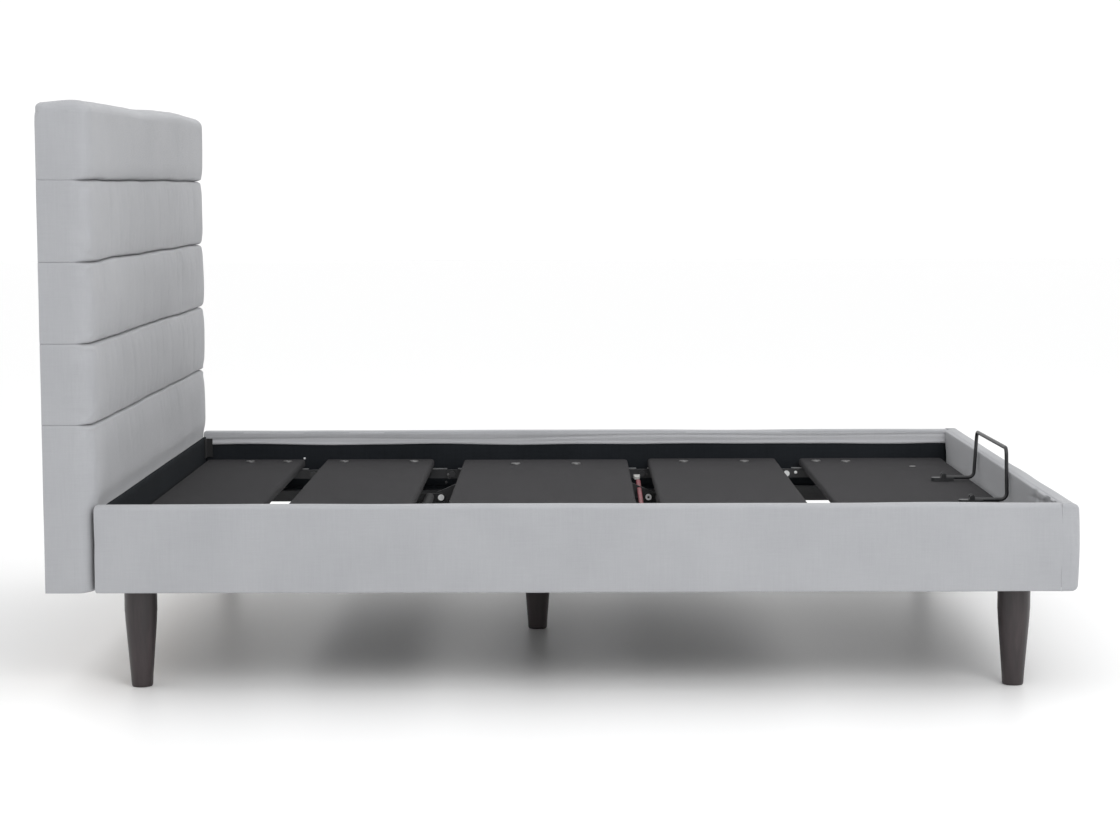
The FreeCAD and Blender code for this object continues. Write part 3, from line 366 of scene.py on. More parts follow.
def edge_angles(mesh):
    """Each edge with the angle between its faces; an open edge counts as sharp."""
    normals = {}
    for polygon in mesh.polygons:
        for key in polygon.edge_keys:
            normals.setdefault(key, []).append(polygon.normal)
    for edge in mesh.edges:
        pair = normals.get(tuple(sorted(edge.vertices)), ())
        yield edge, pair[0].angle(pair[1], 0.0) if len(pair) == 2 else math.pi


# -------------------------------------------------------------------- headboard

TOP_CHANNEL = 5

# The crease at a seam, and the bulge between seams, which fades out at the rails.
LIP = 6.5 * MM
LIP_DEPTH = 15 * MM
BULGE = {1: 3 * MM, 2: 5 * MM, 3: 5 * MM, 4: 5 * MM, TOP_CHANNEL: 10 * MM}
BULGE_REACH = 40 * MM
BULGE_FLOOR = 0.4
BULGE_RISE = 40 * MM
SIDE_CREASE = 0.13

# The pads' mesh: levels are millimetres from a seam.
PAD_DEPTH = 28 * MM
LEVELS = (0, 0.3, 0.8, 1.5, 2.5, 4, 5.5, 8, 12, 17, 23, 31, 40)
LEVEL_PITCH = 16 * MM
FRONT_PITCH = 12 * MM
CORNER = 38 * MM
CORNER_STEPS = 13
TOP_CAP = 48 * MM
FRONT_ROUND = 26 * MM
BACK_ROUND = 12 * MM
SEED_STEP = 3.1

# What the cloth run holds, how far it may move a point, and edge limits in degrees.
SEAM_REACH = 8 * MM
GLUED_REACH = 20 * MM
SWELL = 6 * MM
CLOTH_FRAMES = 20
SOFT_EDGE = 70
CREASED_EDGE = 60


def smooth_step(value):
    value = min(max(value, 0.0), 1.0)
    return value * value * (3 - 2 * value)


def above_deck(height):
    """0 up to about the rails' top edge, rising to 1 above it."""
    return smooth_step((height - BULGE_FLOOR) / BULGE_RISE)


def facing_front(direction):
    """0 on the headboard's ends to 1 on its front."""
    return smooth_step((direction.x - 0.1) / 0.9)


def headboard_plan(low, high):
    """Stations round the headboard's front: place, outward direction, and share of facing front."""
    stations = []
    half = high.y

    def straight(start, end, normal, softness):
        steps = max(2, math.ceil((end - start).length / FRONT_PITCH))
        for step in range(steps):
            stations.append((start.lerp(end, step / steps), normal, softness))

    def turn(centre, first, last):
        for step in range(CORNER_STEPS):
            angle = first + (last - first) * step / CORNER_STEPS
            direction = Vector((math.cos(angle), math.sin(angle)))
            stations.append((centre + direction * CORNER, direction, facing_front(direction)))

    straight(Vector((low.x, -half)), Vector((high.x - CORNER, -half)), Vector((0, -1)), 0.0)
    turn(Vector((high.x - CORNER, -half + CORNER)), -math.pi / 2, 0.0)
    straight(Vector((high.x, -half + CORNER)), Vector((high.x, half - CORNER)), Vector((1, 0)), 1.0)
    turn(Vector((high.x - CORNER, half - CORNER)), 0.0, math.pi / 2)
    straight(Vector((high.x - CORNER, half)), Vector((low.x, half)), Vector((0, 1)), 0.0)
    stations.append((Vector((low.x, half)), Vector((0, 1)), 0.0))
    return stations


def seam_inset(distance, softness, bulge):
    """How far the face stands in near a seam: a tight crease, and a bulge between seams."""
    crease = 1 - math.sqrt(1 - (1 - min(distance / LIP, 1.0)) ** 2)
    fall = 1 - math.sqrt(1 - (1 - min(distance / BULGE_REACH, 1.0)) ** 2)
    depth = LIP_DEPTH * crease * (SIDE_CREASE + (1 - SIDE_CREASE) * softness)
    return depth + bulge * (fall - 1) * softness


def channel_levels(reach):
    """Heights above the lower seam, close together near each seam."""
    below = [level * MM for level in LEVELS]
    between = reach - 2 * below[-1]
    count = max(2, round(between / LEVEL_PITCH))
    middle = [below[-1] + between * step / count for step in range(1, count)]
    above = [reach - level for level in reversed(below)]
    return below + middle + above


def seam_wander(along, index):
    """A hand-pulled seam is never quite straight."""
    slow = 4.0 * noise.noise(Vector((along * 3.0, index * 5.3, 0.0)))
    return (slow + 1.2 * noise.noise(Vector((along * 11.0, index * 3.1, 2.0)))) * MM


CREST = ((-0.85, -3.0), (-0.41, -1.8), (-0.14, -2.4), (0.19, 4.1),
         (0.43, 6.3), (0.78, 1.4), (0.85, 0.5))
BACK_FALL = 5.0 * MM
BACK_FALL_REACH = 75 * MM


def crest(place, low):
    """The top edge dips in its middle, lifts towards the far end and falls a little to the back."""
    lift = CREST[-1][1]
    for (start, first), (end, second) in zip(CREST, CREST[1:]):
        if start <= place.y <= end:
            lift = first + (second - first) * smooth_step((place.y - start) / (end - start))
    lift += 0.9 * noise.noise(Vector((place.y * 9, place.x * 9, 9.0)))
    return lift * MM - BACK_FALL * (1 - smooth_step((place.x - low.x) / BACK_FALL_REACH))


def surface_noise(point, seed):
    """Uneven filling: broad swellings and short upright wrinkles."""
    broad = noise.noise(Vector((point.x * 6 + seed, point.y * 6, point.z * 9)))
    upright = noise.noise(Vector((point.x * 34, point.y * 34 + seed, point.z * 9)))
    return (1.9 * broad + 0.55 * upright) * MM


def channel_ring(station, low, reach, index):
    """One upright ring of a channel: up its face, then down inside its padding."""
    place, normal, softness = station
    top = index == TOP_CHANNEL
    ring = []
    for level in channel_levels(reach):
        distance = level if top else min(level, reach - level)
        inset = seam_inset(distance, softness, BULGE[index] * above_deck(low + level))
        share = level / reach
        wander = seam_wander(place.y, index) * max(0.0, 1 - share * 3)
        if not top:
            wander += seam_wander(place.y, index + 1) * max(0.0, 1 - (1 - share) * 3)
        if index == 1:
            wander *= smooth_step((share - 0.3) / 0.3)
        height = Vector((0, 0, low + level + wander * softness))
        point = (place - normal * inset).to_3d() + height
        fullness = smooth_step(distance / (14 * MM))
        ring.append(point + normal.to_3d() * surface_noise(point, index * SEED_STEP) * fullness)
    inside = place - normal * PAD_DEPTH
    ring.append(Vector((inside.x, inside.y, ring[-1].z)))
    ring.append(Vector((inside.x, inside.y, low)))
    return ring


def headboard_channel(index):
    """One padded channel; the top one carries the headboard's closed head as well."""
    name = f"headboard_channel_{index}"
    low, high = (Vector(corner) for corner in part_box(name))
    top = index == TOP_CHANNEL
    reach = high.z - low.z - (TOP_CAP if top else 0.0)
    plan = headboard_plan(low, high)
    verts, faces = loft([channel_ring(station, low.z, reach, index) for station in plan])
    if top:
        more_verts, more_faces = loft(top_rings(low, high))
        faces += [tuple(corner + len(verts) for corner in face) for face in more_faces]
        verts += more_verts
    piece = mesh_piece(f"{name}_pad", verts, faces, LINEN, "base", (name,))
    return piece


def sewn_points(piece, index):
    """The vertices that are held: along the seams, at the glued back and on the ends."""
    low, high = (Vector(corner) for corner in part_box(f"headboard_channel_{index}"))
    reach = high.z - low.z
    return [vertex.index for vertex in piece.data.vertices
            if min(vertex.co.z - low.z, low.z + reach - vertex.co.z) < SEAM_REACH
            or (vertex.co.x < high.x - GLUED_REACH and abs(vertex.co.y) < high.y - GLUED_REACH)
            or vertex.co.x < high.x - CORNER]


def swell(pads):
    """Swell the pads as cloth held along their seams, and keep the settled shape."""
    for index, piece in pads.items():
        piece.vertex_groups.new(name="sewn").add(sewn_points(piece, index), 1.0, "REPLACE")
        modifier = piece.modifiers.new("cloth", "CLOTH")
        settings = modifier.settings
        settings.quality = 5
        settings.mass = 0.4
        settings.tension_stiffness = 15
        settings.compression_stiffness = 15
        settings.shear_stiffness = 4
        settings.bending_stiffness = 0.4
        settings.use_pressure = True
        settings.uniform_pressure_force = 3
        settings.shrink_min = -0.03
        settings.effector_weights.gravity = 0
        settings.vertex_group_mass = "sewn"
        modifier.collision_settings.use_collision = False
    for number in range(1, CLOTH_FRAMES + 1):
        scene.frame_set(number)
    graph = bpy.context.evaluated_depsgraph_get()
    for piece in pads.values():
        places = [vertex.co.copy() for vertex in piece.evaluated_get(graph).data.vertices]
        for vertex, place in zip(piece.data.vertices, places):
            move = place - vertex.co
            if move.length > 1e-6:
                reach = SWELL * math.tanh(move.length / (2.2 * SWELL)) * above_deck(vertex.co.z)
                vertex.co += move.normalized() * reach
        piece.modifiers.clear()
        piece.vertex_groups.clear()
    scene.frame_set(1)


def smooth(piece):
    """Round a pad once, except along its real edges."""
    crisp(piece, SOFT_EDGE)
    shell = bmesh.new()
    shell.from_mesh(piece.data)
    crease = shell.edges.layers.float.new("crease_edge")
    for edge in shell.edges:
        if edge.calc_face_angle(0) > math.radians(CREASED_EDGE):
            edge[crease] = 1.0
    shell.to_mesh(piece.data)
    shell.free()
    smoother = piece.modifiers.new("smoother", "SUBSURF")
    smoother.levels = 1
    smoother.render_levels = 1


def top_outline(low, high, inset, back_inset, back_corner):
    """The headboard's outline from above, drawn in by an inset, with a fixed count of points."""
    front = max(CORNER - inset, 4 * MM)
    back = max(back_corner - back_inset, 0.6 * MM)
    corners = [(low.x + back_inset, low.y + inset, back), (high.x - inset, low.y + inset, front),
               (high.x - inset, high.y - inset, front), (low.x + back_inset, high.y - inset, back)]
    return counted(corners, 9, (8, 130, 8, 60))


def plan_direction(point, high):
    """The outward direction of the headboard's outline at a point, seen from above."""
    along = point.x - (high.x - CORNER)
    beyond = abs(point.y) - (high.y - CORNER)
    if along <= 0:
        return Vector((0, math.copysign(1, point.y))) if beyond > 0 else Vector((-1, 0))
    return Vector((along, math.copysign(max(beyond, 0.0), point.y))).normalized()


def top_rings(low, high):
    """The headboard's closed head: back corners rounder as they rise, then all sides roll over."""
    widest = 12 * MM
    rings = []
    for rise, corner in ((0.0, 1.0), (12, 3.0), (22, 8.0), (22, 12.0)):
        outline = top_outline(low, high, 0, 0, corner * MM)
        rings.append([(point, TOP_CAP - rise * MM, 0.0) for point in outline])
    for step in range(1, 9):
        turn = math.pi / 2 * step / 8
        across = 1 - math.cos(turn)
        outline = top_outline(low, high, FRONT_ROUND * across, BACK_ROUND * across, widest)
        rings.append([(point, None, turn) for point in outline])
    for extra in (3, 8, 14, 20):
        outline = top_outline(low, high, FRONT_ROUND + extra * MM, BACK_ROUND + extra * MM, widest)
        rings.append([(point, None, math.pi / 2) for point in outline])
    result = []
    for ring in rings:
        placed = []
        for point, below, turn in ring:
            roundness = smooth_step((point.x - low.x) / (60 * MM))
            radius = BACK_ROUND + (FRONT_ROUND - BACK_ROUND) * roundness
            share = max(0.0, 1 - below / TOP_CAP) if below is not None else 1.0
            top = high.z + crest(point, low) * share
            level = top - below if below is not None else top - radius * (1 - math.sin(turn))
            spot = Vector((point.x, point.y, level))
            facing = plan_direction(point, high)
            full = BULGE[TOP_CHANNEL] * facing_front(facing)
            full += surface_noise(spot, TOP_CHANNEL * SEED_STEP)
            placed.append(spot + facing.to_3d() * full * math.cos(turn))
        result.append(placed)
    return result


channel_pads = {index: headboard_channel(index) for index in range(1, TOP_CHANNEL)}
swell(channel_pads)
for pad in channel_pads.values():
    smooth(pad)
crisp(headboard_channel(TOP_CHANNEL), SOFT_EDGE)


# ------------------------------------------------------------------------ rails

COVER_WALL = 4 * MM
COVER_TOP = 6 * MM
COVER_FOOT = 5 * MM
HEM_DEPTH = 38 * MM
RAIL_PITCH = 14 * MM


def sweep(outline, start, end, axis, pitch, end_round, shape):
    """Rings of an outline carried along x or y and shaped, drawn in a little at both ends."""
    count = max(2, math.ceil((end - start) / pitch))
    places = [start + (end - start) * step / count for step in range(count + 1)]
    for share in (0.25, 0.6):
        places += [start + end_round * share, end - end_round * share]
    middle = Vector((sum(p.x for p in outline), sum(p.y for p in outline))) / len(outline)
    rings = []
    for place in sorted(set(places)):
        short = max(0.0, end_round - min(place - start, end - place))
        draw = end_round - math.sqrt(max(end_round ** 2 - short ** 2, 0.0))
        ring = []
        for point in outline:
            toward = middle - point
            drawn = point + toward.normalized() * min(draw, toward.length * 0.5)
            u, v = shape(drawn, place)
            ring.append(Vector((place, u, v) if axis == "x" else (u, place, v)))
        rings.append(ring)
    return rings


def crown_share(height, top):
    """0 on a rail's sides to 1 on its top edge."""
    return smooth_step((height - (top - 14 * MM)) / (12 * MM))


def ridge(distance, width):
    """A soft line across a surface: 1 on it, falling to 0 beyond its width."""
    return math.exp(-(distance / width) ** 2)


def side_rail(name, side):
    low, high = (Vector(corner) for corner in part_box(f"rail_cover_{name}"))
    out, inner = (high.y, low.y) if side > 0 else (-low.y, -high.y)
    band = high.z - HEM_DEPTH
    under_top = high.z - COVER_TOP
    sole = low.z + COVER_FOOT
    turned_under = out - 28 * MM
    corners = [(out, low.z, 4 * MM), (out, high.z, 9 * MM), (inner, high.z, 7 * MM),
               (inner, band, 1.5 * MM), (inner + COVER_WALL, band, 0),
               (inner + COVER_WALL, under_top, 0), (out - COVER_WALL, under_top, 0),
               (out - COVER_WALL, sole, 0), (turned_under, sole, 0), (turned_under, low.z, 0)]
    outline = divided(rounded(corners, 5), 3 * MM)
    outline = [Vector((side * point.x, point.y)) for point in outline]

    def slack(point, place):
        """Loose cloth: an uneven top edge, folds along the band, and a rolled hem below it."""
        crown = 1.8 * noise.noise(Vector((place * 3.1, side * 4.0, 0.0))) - 1.0
        on_band = smooth_step((inner + 3.5 * MM - abs(point.x)) / (3 * MM))
        fold = 1.6 * noise.noise(Vector((place * 2.2, point.y * 75, side))) * on_band
        crease_at = band + (20 + 5 * math.sin(place * 2.3) + 3 * math.sin(place * 7.1)) * MM
        fold -= 1.7 * on_band * ridge(point.y - crease_at, 2.5 * MM)
        hem = 2.0 * on_band * ridge(point.y - band - 3.5 * MM, 2.6 * MM)
        rise = crown * crown_share(point.y, high.z)
        if abs(point.x) < inner + COVER_WALL + 1 * MM and point.y > band - 1 * MM:
            low_on_band = smooth_step((high.z - 18 * MM - point.y) / (18 * MM))
            rise += 3.8 * noise.noise(Vector((place * 4.0, side, 3.0))) * low_on_band
        return point + Vector((-side * (fold + hem) * MM, rise * MM))

    # The foot end stays full against the foot rail: one flat ring stands in for the rounded ones.
    full = sweep(outline, low.x, high.x, "x", RAIL_PITCH, 5 * MM, slack)[:-6]
    full.append([Vector((high.x, point.y, point.z)) for point in full[-1]])
    verts, faces = loft(full)
    node = f"rail_cover_{name}"
    piece = mesh_piece(f"rail_{name}_upholstery", verts, faces, LINEN, "base",
                       (node,))
    ripple(piece, 0.9 * MM, (5, 5, 12), seed=side * 2.3)
    # The turned-in band takes the lighter copy of the linen: painted light making up for the shade
    # it sits in.
    piece.data.materials.append(LINEN_PAINTED_LIGHT)
    for polygon in piece.data.polygons:
        turned_in = polygon.normal.y * side < -0.5 and abs(polygon.center.y) < inner + 6 * MM
        if turned_in and band < polygon.center.z < high.z - 5 * MM:
            polygon.material_index = 1
    crisp(piece, SOFT_EDGE)


END_CLOTH = 4 * MM
FOOT_CORNER = 13 * MM
BELLY = 3 * MM


def foot_rail():
    low, high = (Vector(corner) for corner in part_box("rail_cover_foot"))
    band = high.z - HEM_DEPTH
    under_top = high.z - COVER_TOP
    sole = low.z + COVER_FOOT
    turned_under = low.x + 10 * MM
    corners = [(high.x, low.z, FOOT_CORNER), (high.x, high.z, FOOT_CORNER), (low.x, high.z, 8 * MM),
               (low.x, band, 1 * MM), (low.x + COVER_WALL, band, 0),
               (low.x + COVER_WALL, under_top, 0), (high.x - COVER_WALL, under_top, 0),
               (high.x - COVER_WALL, sole, 0), (turned_under, sole, 0), (turned_under, low.z, 0)]
    outline = divided(rounded(corners, 7), 9 * MM)
    turn = 12 * MM

    def corner_turn(point, place):
        """The outer face rolls back round both ends, and the top is a little uneven."""
        gap = max(0.0, turn - (high.y - abs(place)))
        back = turn - math.sqrt(max(turn ** 2 - gap ** 2, 0.0))
        share = smooth_step((point.x - low.x) / (high.x - low.x) * 1.6 - 0.6)
        rise = 2.0 * noise.noise(Vector((place * 3.3, 7.0, 0.0))) - 1.2
        shrunk = min(back * 0.8, 6 * MM)
        belly = BELLY * math.sin(math.pi * (point.y - low.z) / (high.z - low.z)) * share
        lift = (rise * MM - shrunk) * crown_share(point.y, high.z)
        return Vector((point.x + belly - back * share, point.y + lift))

    reach = high.y - END_CLOTH + 0.5 * MM
    rings = sweep(outline, -reach, reach, "y", RAIL_PITCH, 0.3 * MM, corner_turn)
    verts, faces = loft(rings)
    node = "rail_cover_foot"
    piece = mesh_piece("rail_foot_upholstery", verts, faces, LINEN, "base", (node,))
    ripple(piece, 1.1 * MM, (12, 5, 9), seed=5.2)
    crisp(piece, SOFT_EDGE)
    for name, side in SIDES.items():
        foot_rail_end(name, side, low, high)


def end_outline(low, high, inset):
    """The outline of the foot rail's end, in X and Z, drawn in by an inset."""
    inner = 0.4 * MM
    outer = max(FOOT_CORNER - inset, 1 * MM)
    edge = low.x - 1 * MM + inset * 0.15
    corners = [(edge, low.z + inset, inner), (high.x - inset, low.z + inset, outer),
               (high.x - inset, high.z - inset, outer), (edge, high.z - inset, inner)]
    return counted(corners, 7, (14, 60, 14, 60))


def out_at(out, share):
    """The edge beside the side rail stays full, so that the two cloths meet without a step."""
    return out + (1 - out) * (1 - smooth_step(share / 0.08))


END_DOME = ((0.3, 0.0), (0.2, 0.25), (1.2, 0.6), (3.0, 0.85), (5.5, 0.97), (8, 1.0), (10, 1.0),
            (12, 1.0), (14, 1.0), (16, 1.0), (18, 1.0))


def foot_rail_end(name, side, low, high):
    """The cloth over a foot rail end: softly domed, with a sewn line beside its inner edge."""
    depth = END_CLOTH + 1.5 * MM
    base = high.y - END_CLOTH - 1.5 * MM
    rings = []
    for inset, out in END_DOME:
        ring = []
        for point in end_outline(low, high, inset * MM):
            share = (point.x - low.x) / (high.x - low.x)
            tall = (point.y - low.z) / (high.z - low.z)
            arch = math.sin(tall * math.pi)
            seam_at = 0.02 + 0.24 * arch + 0.02 * noise.noise(Vector((tall * 9, 3.0, side)))
            seam = ridge(share - seam_at, 0.04) * arch
            pucker = noise.noise(Vector((share * 3, tall * 14, side * 2.0)))
            bulge = 1.2 * smooth_step((share - seam_at) * 2.5) * arch
            level = depth * out_at(out, share) + (pucker * 0.5 + bulge - 2.2 * seam) * MM * out
            belly = BELLY * arch * smooth_step((share - 0.4) / 0.6)
            ring.append(Vector((point.x + belly, side * (base + level), point.y)))
        rings.append(ring)
    verts, faces = loft(rings)
    piece = mesh_piece(f"rail_foot_end_{name}", verts, faces, LINEN, "base")
    crisp(piece, 75)


PUCKER_REACH = 330 * MM


def foot_inner_pad():
    """The foot rail's inner face: one padded cloth, full along its top, puckered near one end."""
    low, high = (Vector(corner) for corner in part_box("foot_inner_pad"))
    corners = [(low.x, low.z, 2 * MM), (low.x, high.z, 5 * MM),
               (high.x, high.z, 1 * MM), (high.x, low.z, 1 * MM)]
    outline = divided(rounded(corners, 6), 4 * MM)

    def puckers(point, place):
        front = smooth_step((high.x - 2.5 * MM - point.x) / (3 * MM))
        share = (point.y - low.z) / (high.z - low.z)
        hollow = 2.6 * smooth_step((0.9 - share) / 0.45)
        near_end = max(0.0, 1 - (place - low.y) / PUCKER_REACH)
        fold = 13 * noise.noise(Vector((place * 26.0, point.y * 9.0, 1.0))) * near_end ** 0.7
        crease = 6 * near_end ** 0.6 * ridge(share - 0.94 + 0.12 * (1 - near_end), 0.03)
        slow = 1.2 * noise.noise(Vector((place * 3.5, point.y * 9.0, 4.0)))
        shift = max(min(hollow + fold + crease + slow, 5.6), -1.6)
        return Vector((point.x + shift * MM * front, point.y))

    verts, faces = loft(sweep(outline, low.y, high.y, "y", 7 * MM, 2 * MM, puckers))
    node = "foot_inner_pad"
    piece = mesh_piece("foot_inner_cloth", verts, faces, LINEN, "base", (node,))
    crisp(piece, SOFT_EDGE)


for side_name, side_sign in SIDES.items():
    side_rail(side_name, side_sign)
foot_rail()
foot_inner_pad()


BOARD_EDGE = 1.2 * MM


def cloth_board(node, piece_name, amplitude):
    """A thin cloth-covered board with soft edges and a little slack in its cloth."""
    low, high = (Vector(corner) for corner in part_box(node))
    size = high - low
    thin = min(range(3), key=lambda axis: size[axis])
    wide = [axis for axis in range(3) if axis != thin]
    first, second = wide
    corners = rectangle(low[first], low[second], high[first], high[second], BOARD_EDGE)
    path = divided(rounded(corners, 3), 40 * MM)
    centre = (low + high) / 2
    rings = []
    for inset, level in ((BOARD_EDGE, 0.0), (0.0, 0.25), (0.0, 0.75), (BOARD_EDGE, 1.0),
                         (14 * MM, 1.0)):
        ring = []
        for point in path:
            place = Vector((0, 0, 0))
            for axis, along in zip(wide, point):
                drawn = min(inset, size[axis] / 3)
                place[axis] = along - math.copysign(drawn, along - centre[axis])
            place[thin] = low[thin] + size[thin] * level
            ring.append(place)
        rings.append(ring)
    verts, faces = loft(rings)
    piece = mesh_piece(piece_name, verts, faces, LINING, "base", (node,))
    ripple(piece, amplitude, (7, 7, 20), seed=size.length)
    crisp(piece, 60)


for lining in ("lining_near", "lining_far", "lining_head"):
    cloth_board(lining, f"{lining}_cloth", 0.5 * MM)
cloth_board("headboard_back", "headboard_dust_cloth", 0.4 * MM)


# ------------------------------------------------------------------------- deck

PANELS = {"pillow": "pillow", "back": "back", "seat": "base", "thigh": "thigh", "foot": "foot"}


PANEL_CORNER = 11 * MM
PANEL_PROFILE = ((6, 0), (1.5, 1), (0, 3.5), (0, 12), (0.8, 15.5), (2.6, 18.2), (5.5, 19.6),
                 (9, 20), (30, 20), (90, 19.6))


def deck_panel(name, body):
    """A board wrapped in charcoal cloth, with round corners and a soft edge."""
    low, high = (Vector(corner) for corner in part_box(f"panel_{name}"))
    rings = []
    for inset, level in PANEL_PROFILE:
        shift = inset * MM
        turn = max(PANEL_CORNER - shift * 0.6, 2.5 * MM)
        corners = rectangle(low.x + shift, low.y + shift, high.x - shift, high.y - shift, turn)
        outline = counted(corners, 8, (24, 24, 24, 24))
        rings.append([Vector((point.x, point.y, low.z + level * MM)) for point in outline])
    verts, faces = loft(rings)
    node = f"panel_{name}"
    piece = mesh_piece(f"{node}_wrap", verts, faces, DECK, body, (node,))
    ripple(piece, 0.5 * MM, (9, 9, 3), seed=low.x,
           weight=lambda co: 1.0 if co.z < high.z - 1 * MM else 0.3)
    crisp(piece, 60)


for panel_name, panel_body in PANELS.items():
    deck_panel(panel_name, panel_body)


def clusters(node):
    """The boxes of the separate solids in one CAD node, from its own vertices."""
    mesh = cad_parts[node].data
    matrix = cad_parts[node].matrix_world
    parent = list(range(len(mesh.vertices)))

    def root(item):
        while parent[item] != item:
            parent[item] = parent[parent[item]]
            item = parent[item]
        return item

    seen = {}
    for vertex in mesh.vertices:
        key = tuple(round(value, 5) for value in vertex.co)
        parent[root(vertex.index)] = root(seen.setdefault(key, vertex.index))
    for edge in mesh.edges:
        parent[root(edge.vertices[0])] = root(edge.vertices[1])
    boxes = {}
    for vertex in mesh.vertices:
        place = matrix @ vertex.co
        low, high = boxes.setdefault(root(vertex.index), (place.copy(), place.copy()))
        for axis in range(3):
            low[axis] = min(low[axis], place[axis])
            high[axis] = max(high[axis], place[axis])
    return list(boxes.values())


def deck_bolts(name, body):
    """Flat round bolt heads with a chamfer and a shallow driving recess."""
    node = f"bolts_{name}"
    for index, (low, high) in enumerate(clusters(node)):
        radius = (high.x - low.x) / 2
        tall = high.z - low.z
        profile = [(radius * 0.98, 0), (radius, 0.4 * MM), (radius * 0.97, tall - 0.8 * MM),
                   (radius * 0.86, tall), (radius * 0.36, tall), (radius * 0.32, tall - 1.4 * MM),
                   (0.2 * MM, tall - 1.5 * MM)]
        centre = ((low.x + high.x) / 2, (low.y + high.y) / 2, low.z)
        lathe(f"{node}_{index + 1}", profile, centre, (0, 0, 1), BOLT, body, (node,),
              segments=40)


for bolt_name, bolt_body in PANELS.items():
    deck_bolts(bolt_name, bolt_body)


# ------------------------------------------------------------------------- legs

def legs():
    for name in ("head_near", "head_far", "foot_near", "foot_far", "centre"):
        node = f"leg_{name}"
        low, high = (Vector(corner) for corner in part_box(node))
        wide = (high.x - low.x) / 2
        foot = 23 * MM
        collar = 58 * MM
        tall = high.z - low.z
        profile = [(foot * 0.8, 0), (foot * 0.94, 0.6 * MM), (foot, 3 * MM),
                   (foot + 0.4 * MM, 7 * MM)]
        for step in range(1, 9):
            share = step / 9
            height = 7 * MM + (tall - collar - 10 * MM) * share
            profile.append((foot + (wide - foot) * share, height))
        profile += [(wide - 0.5 * MM, tall - collar - 2 * MM), (wide, tall - collar + 2 * MM),
                    (wide, tall)]
        centre = ((low.x + high.x) / 2, (low.y + high.y) / 2, low.z)
        lathe(f"{node}_turned", profile, centre, (0, 0, 1), LEG_WOOD, "base", (node,),
              segments=72)


legs()


# --------------------------------------------------- metalwork carried from CAD

CARRIED = {
    STEEL: ("base_frame", "seat_frame", "back_frame", "pillow_frame", "thigh_frame", "foot_frame",
            "foot_link", "retainer_bar", "retainer_bracket_near", "retainer_bracket_far"),
    MATTE_STEEL: ("back_lift_yoke", "thigh_lift_yoke", "corner_bracket_near", "corner_bracket_far"),
    RAW_BOARD: ("headboard_core",),
    LINING: ("rail_board_near", "rail_board_far", "rail_board_foot"),
    PLATED: ("pivot_bolts_back", "pivot_bolts_pillow", "pivot_bolts_foot"),
    # The thigh's pivot bolts take the near-white copy: painted light against the panel's shade.
    PLATED_PAINTED_LIGHT: ("pivot_bolts_thigh",),
    WHITE_PLASTIC: ("back_roller_axle", "thigh_roller_axle"),
    ROD: ("back_actuator_rod", "thigh_actuator_rod", "pillow_actuator_rod"),
    BLACK_PLASTIC: ("back_actuator", "thigh_actuator", "pillow_actuator", "control_box"),
}

for material, names in CARRIED.items():
    for node_name in names:
        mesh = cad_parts[node_name].data
        for index in range(len(mesh.materials)):
            mesh.materials[index] = material


BRIGHT_REACH = 0.6
SIDE_TUBES = 0.675


def second_tone(names, material, chosen):
    """Give a second material to the chosen faces of carried nodes."""
    for name in names:
        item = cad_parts[name]
        mesh = item.data
        mesh.materials.append(material)
        last = len(mesh.materials) - 1
        for polygon in mesh.polygons:
            if chosen(polygon, abs((item.matrix_world @ polygon.center).y)):
                polygon.material_index = last


# Hinge pins at the sides are black; the lift arms' bolts nearer the middle stay bright.
second_tone(("pivot_bolts_back", "pivot_bolts_thigh", "pivot_bolts_pillow"), OXIDE,
            lambda polygon, out: out > BRIGHT_REACH)

# The upper faces of the side tubes get a lighter copy of the coat: a painted highlight where light
# from above catches them.
second_tone(("seat_frame", "back_frame", "pillow_frame", "thigh_frame", "foot_frame"), TOP_HIGHLIGHT_STEEL,
            lambda polygon, out: polygon.normal.z > 0.9 and out > SIDE_TUBES)


# ------------------------------------------------------- small hardware and lead

# Distances along the bed run from FRONT_PLANE, the X of the headboard's front.
FRONT_PLANE = -0.9975
HARDWARE_FACE = 0.668
HINGE_FIXINGS = (
    ("hinge_fixing_1", 684.4, 302.2, 2.6, BOLT), ("hinge_fixing_2", 696.7, 303.0, 2.6, BOLT),
    ("hinge_fixing_3", 686.8, 294.0, 3.0, OXIDE), ("hinge_fixing_4", 678.5, 282.0, 2.4, OXIDE),
    ("hinge_fixing_5", 1226.0, 302.0, 2.6, OXIDE), ("hinge_fixing_6", 1634.4, 306.8, 2.8, PLATED),
    ("hinge_fixing_7", 1640.0, 315.0, 2.0, OXIDE), ("hinge_fixing_8", 331.0, 305.0, 2.4, OXIDE))


def small_bolts():
    """Fixings round the hinges: heads on the inner faces of the frames' side webs."""
    for name, distance, height, radius, material in HINGE_FIXINGS:
        for side_name, side in SIDES.items():
            centre = (FRONT_PLANE + distance * MM, HARDWARE_FACE * side, height * MM)
            profile = [(radius * 1.5 * MM, 0), (radius * 1.5 * MM, 0.8 * MM),
                       (radius * MM, 0.9 * MM), (radius * MM, 3.2 * MM),
                       (radius * 0.75 * MM, 3.8 * MM), (radius * 0.45 * MM, 3.8 * MM),
                       (radius * 0.4 * MM, 2.2 * MM)]
            lathe(f"{name}_{side_name}", profile, centre, (0, -side, 0), material, "base",
                  segments=24)


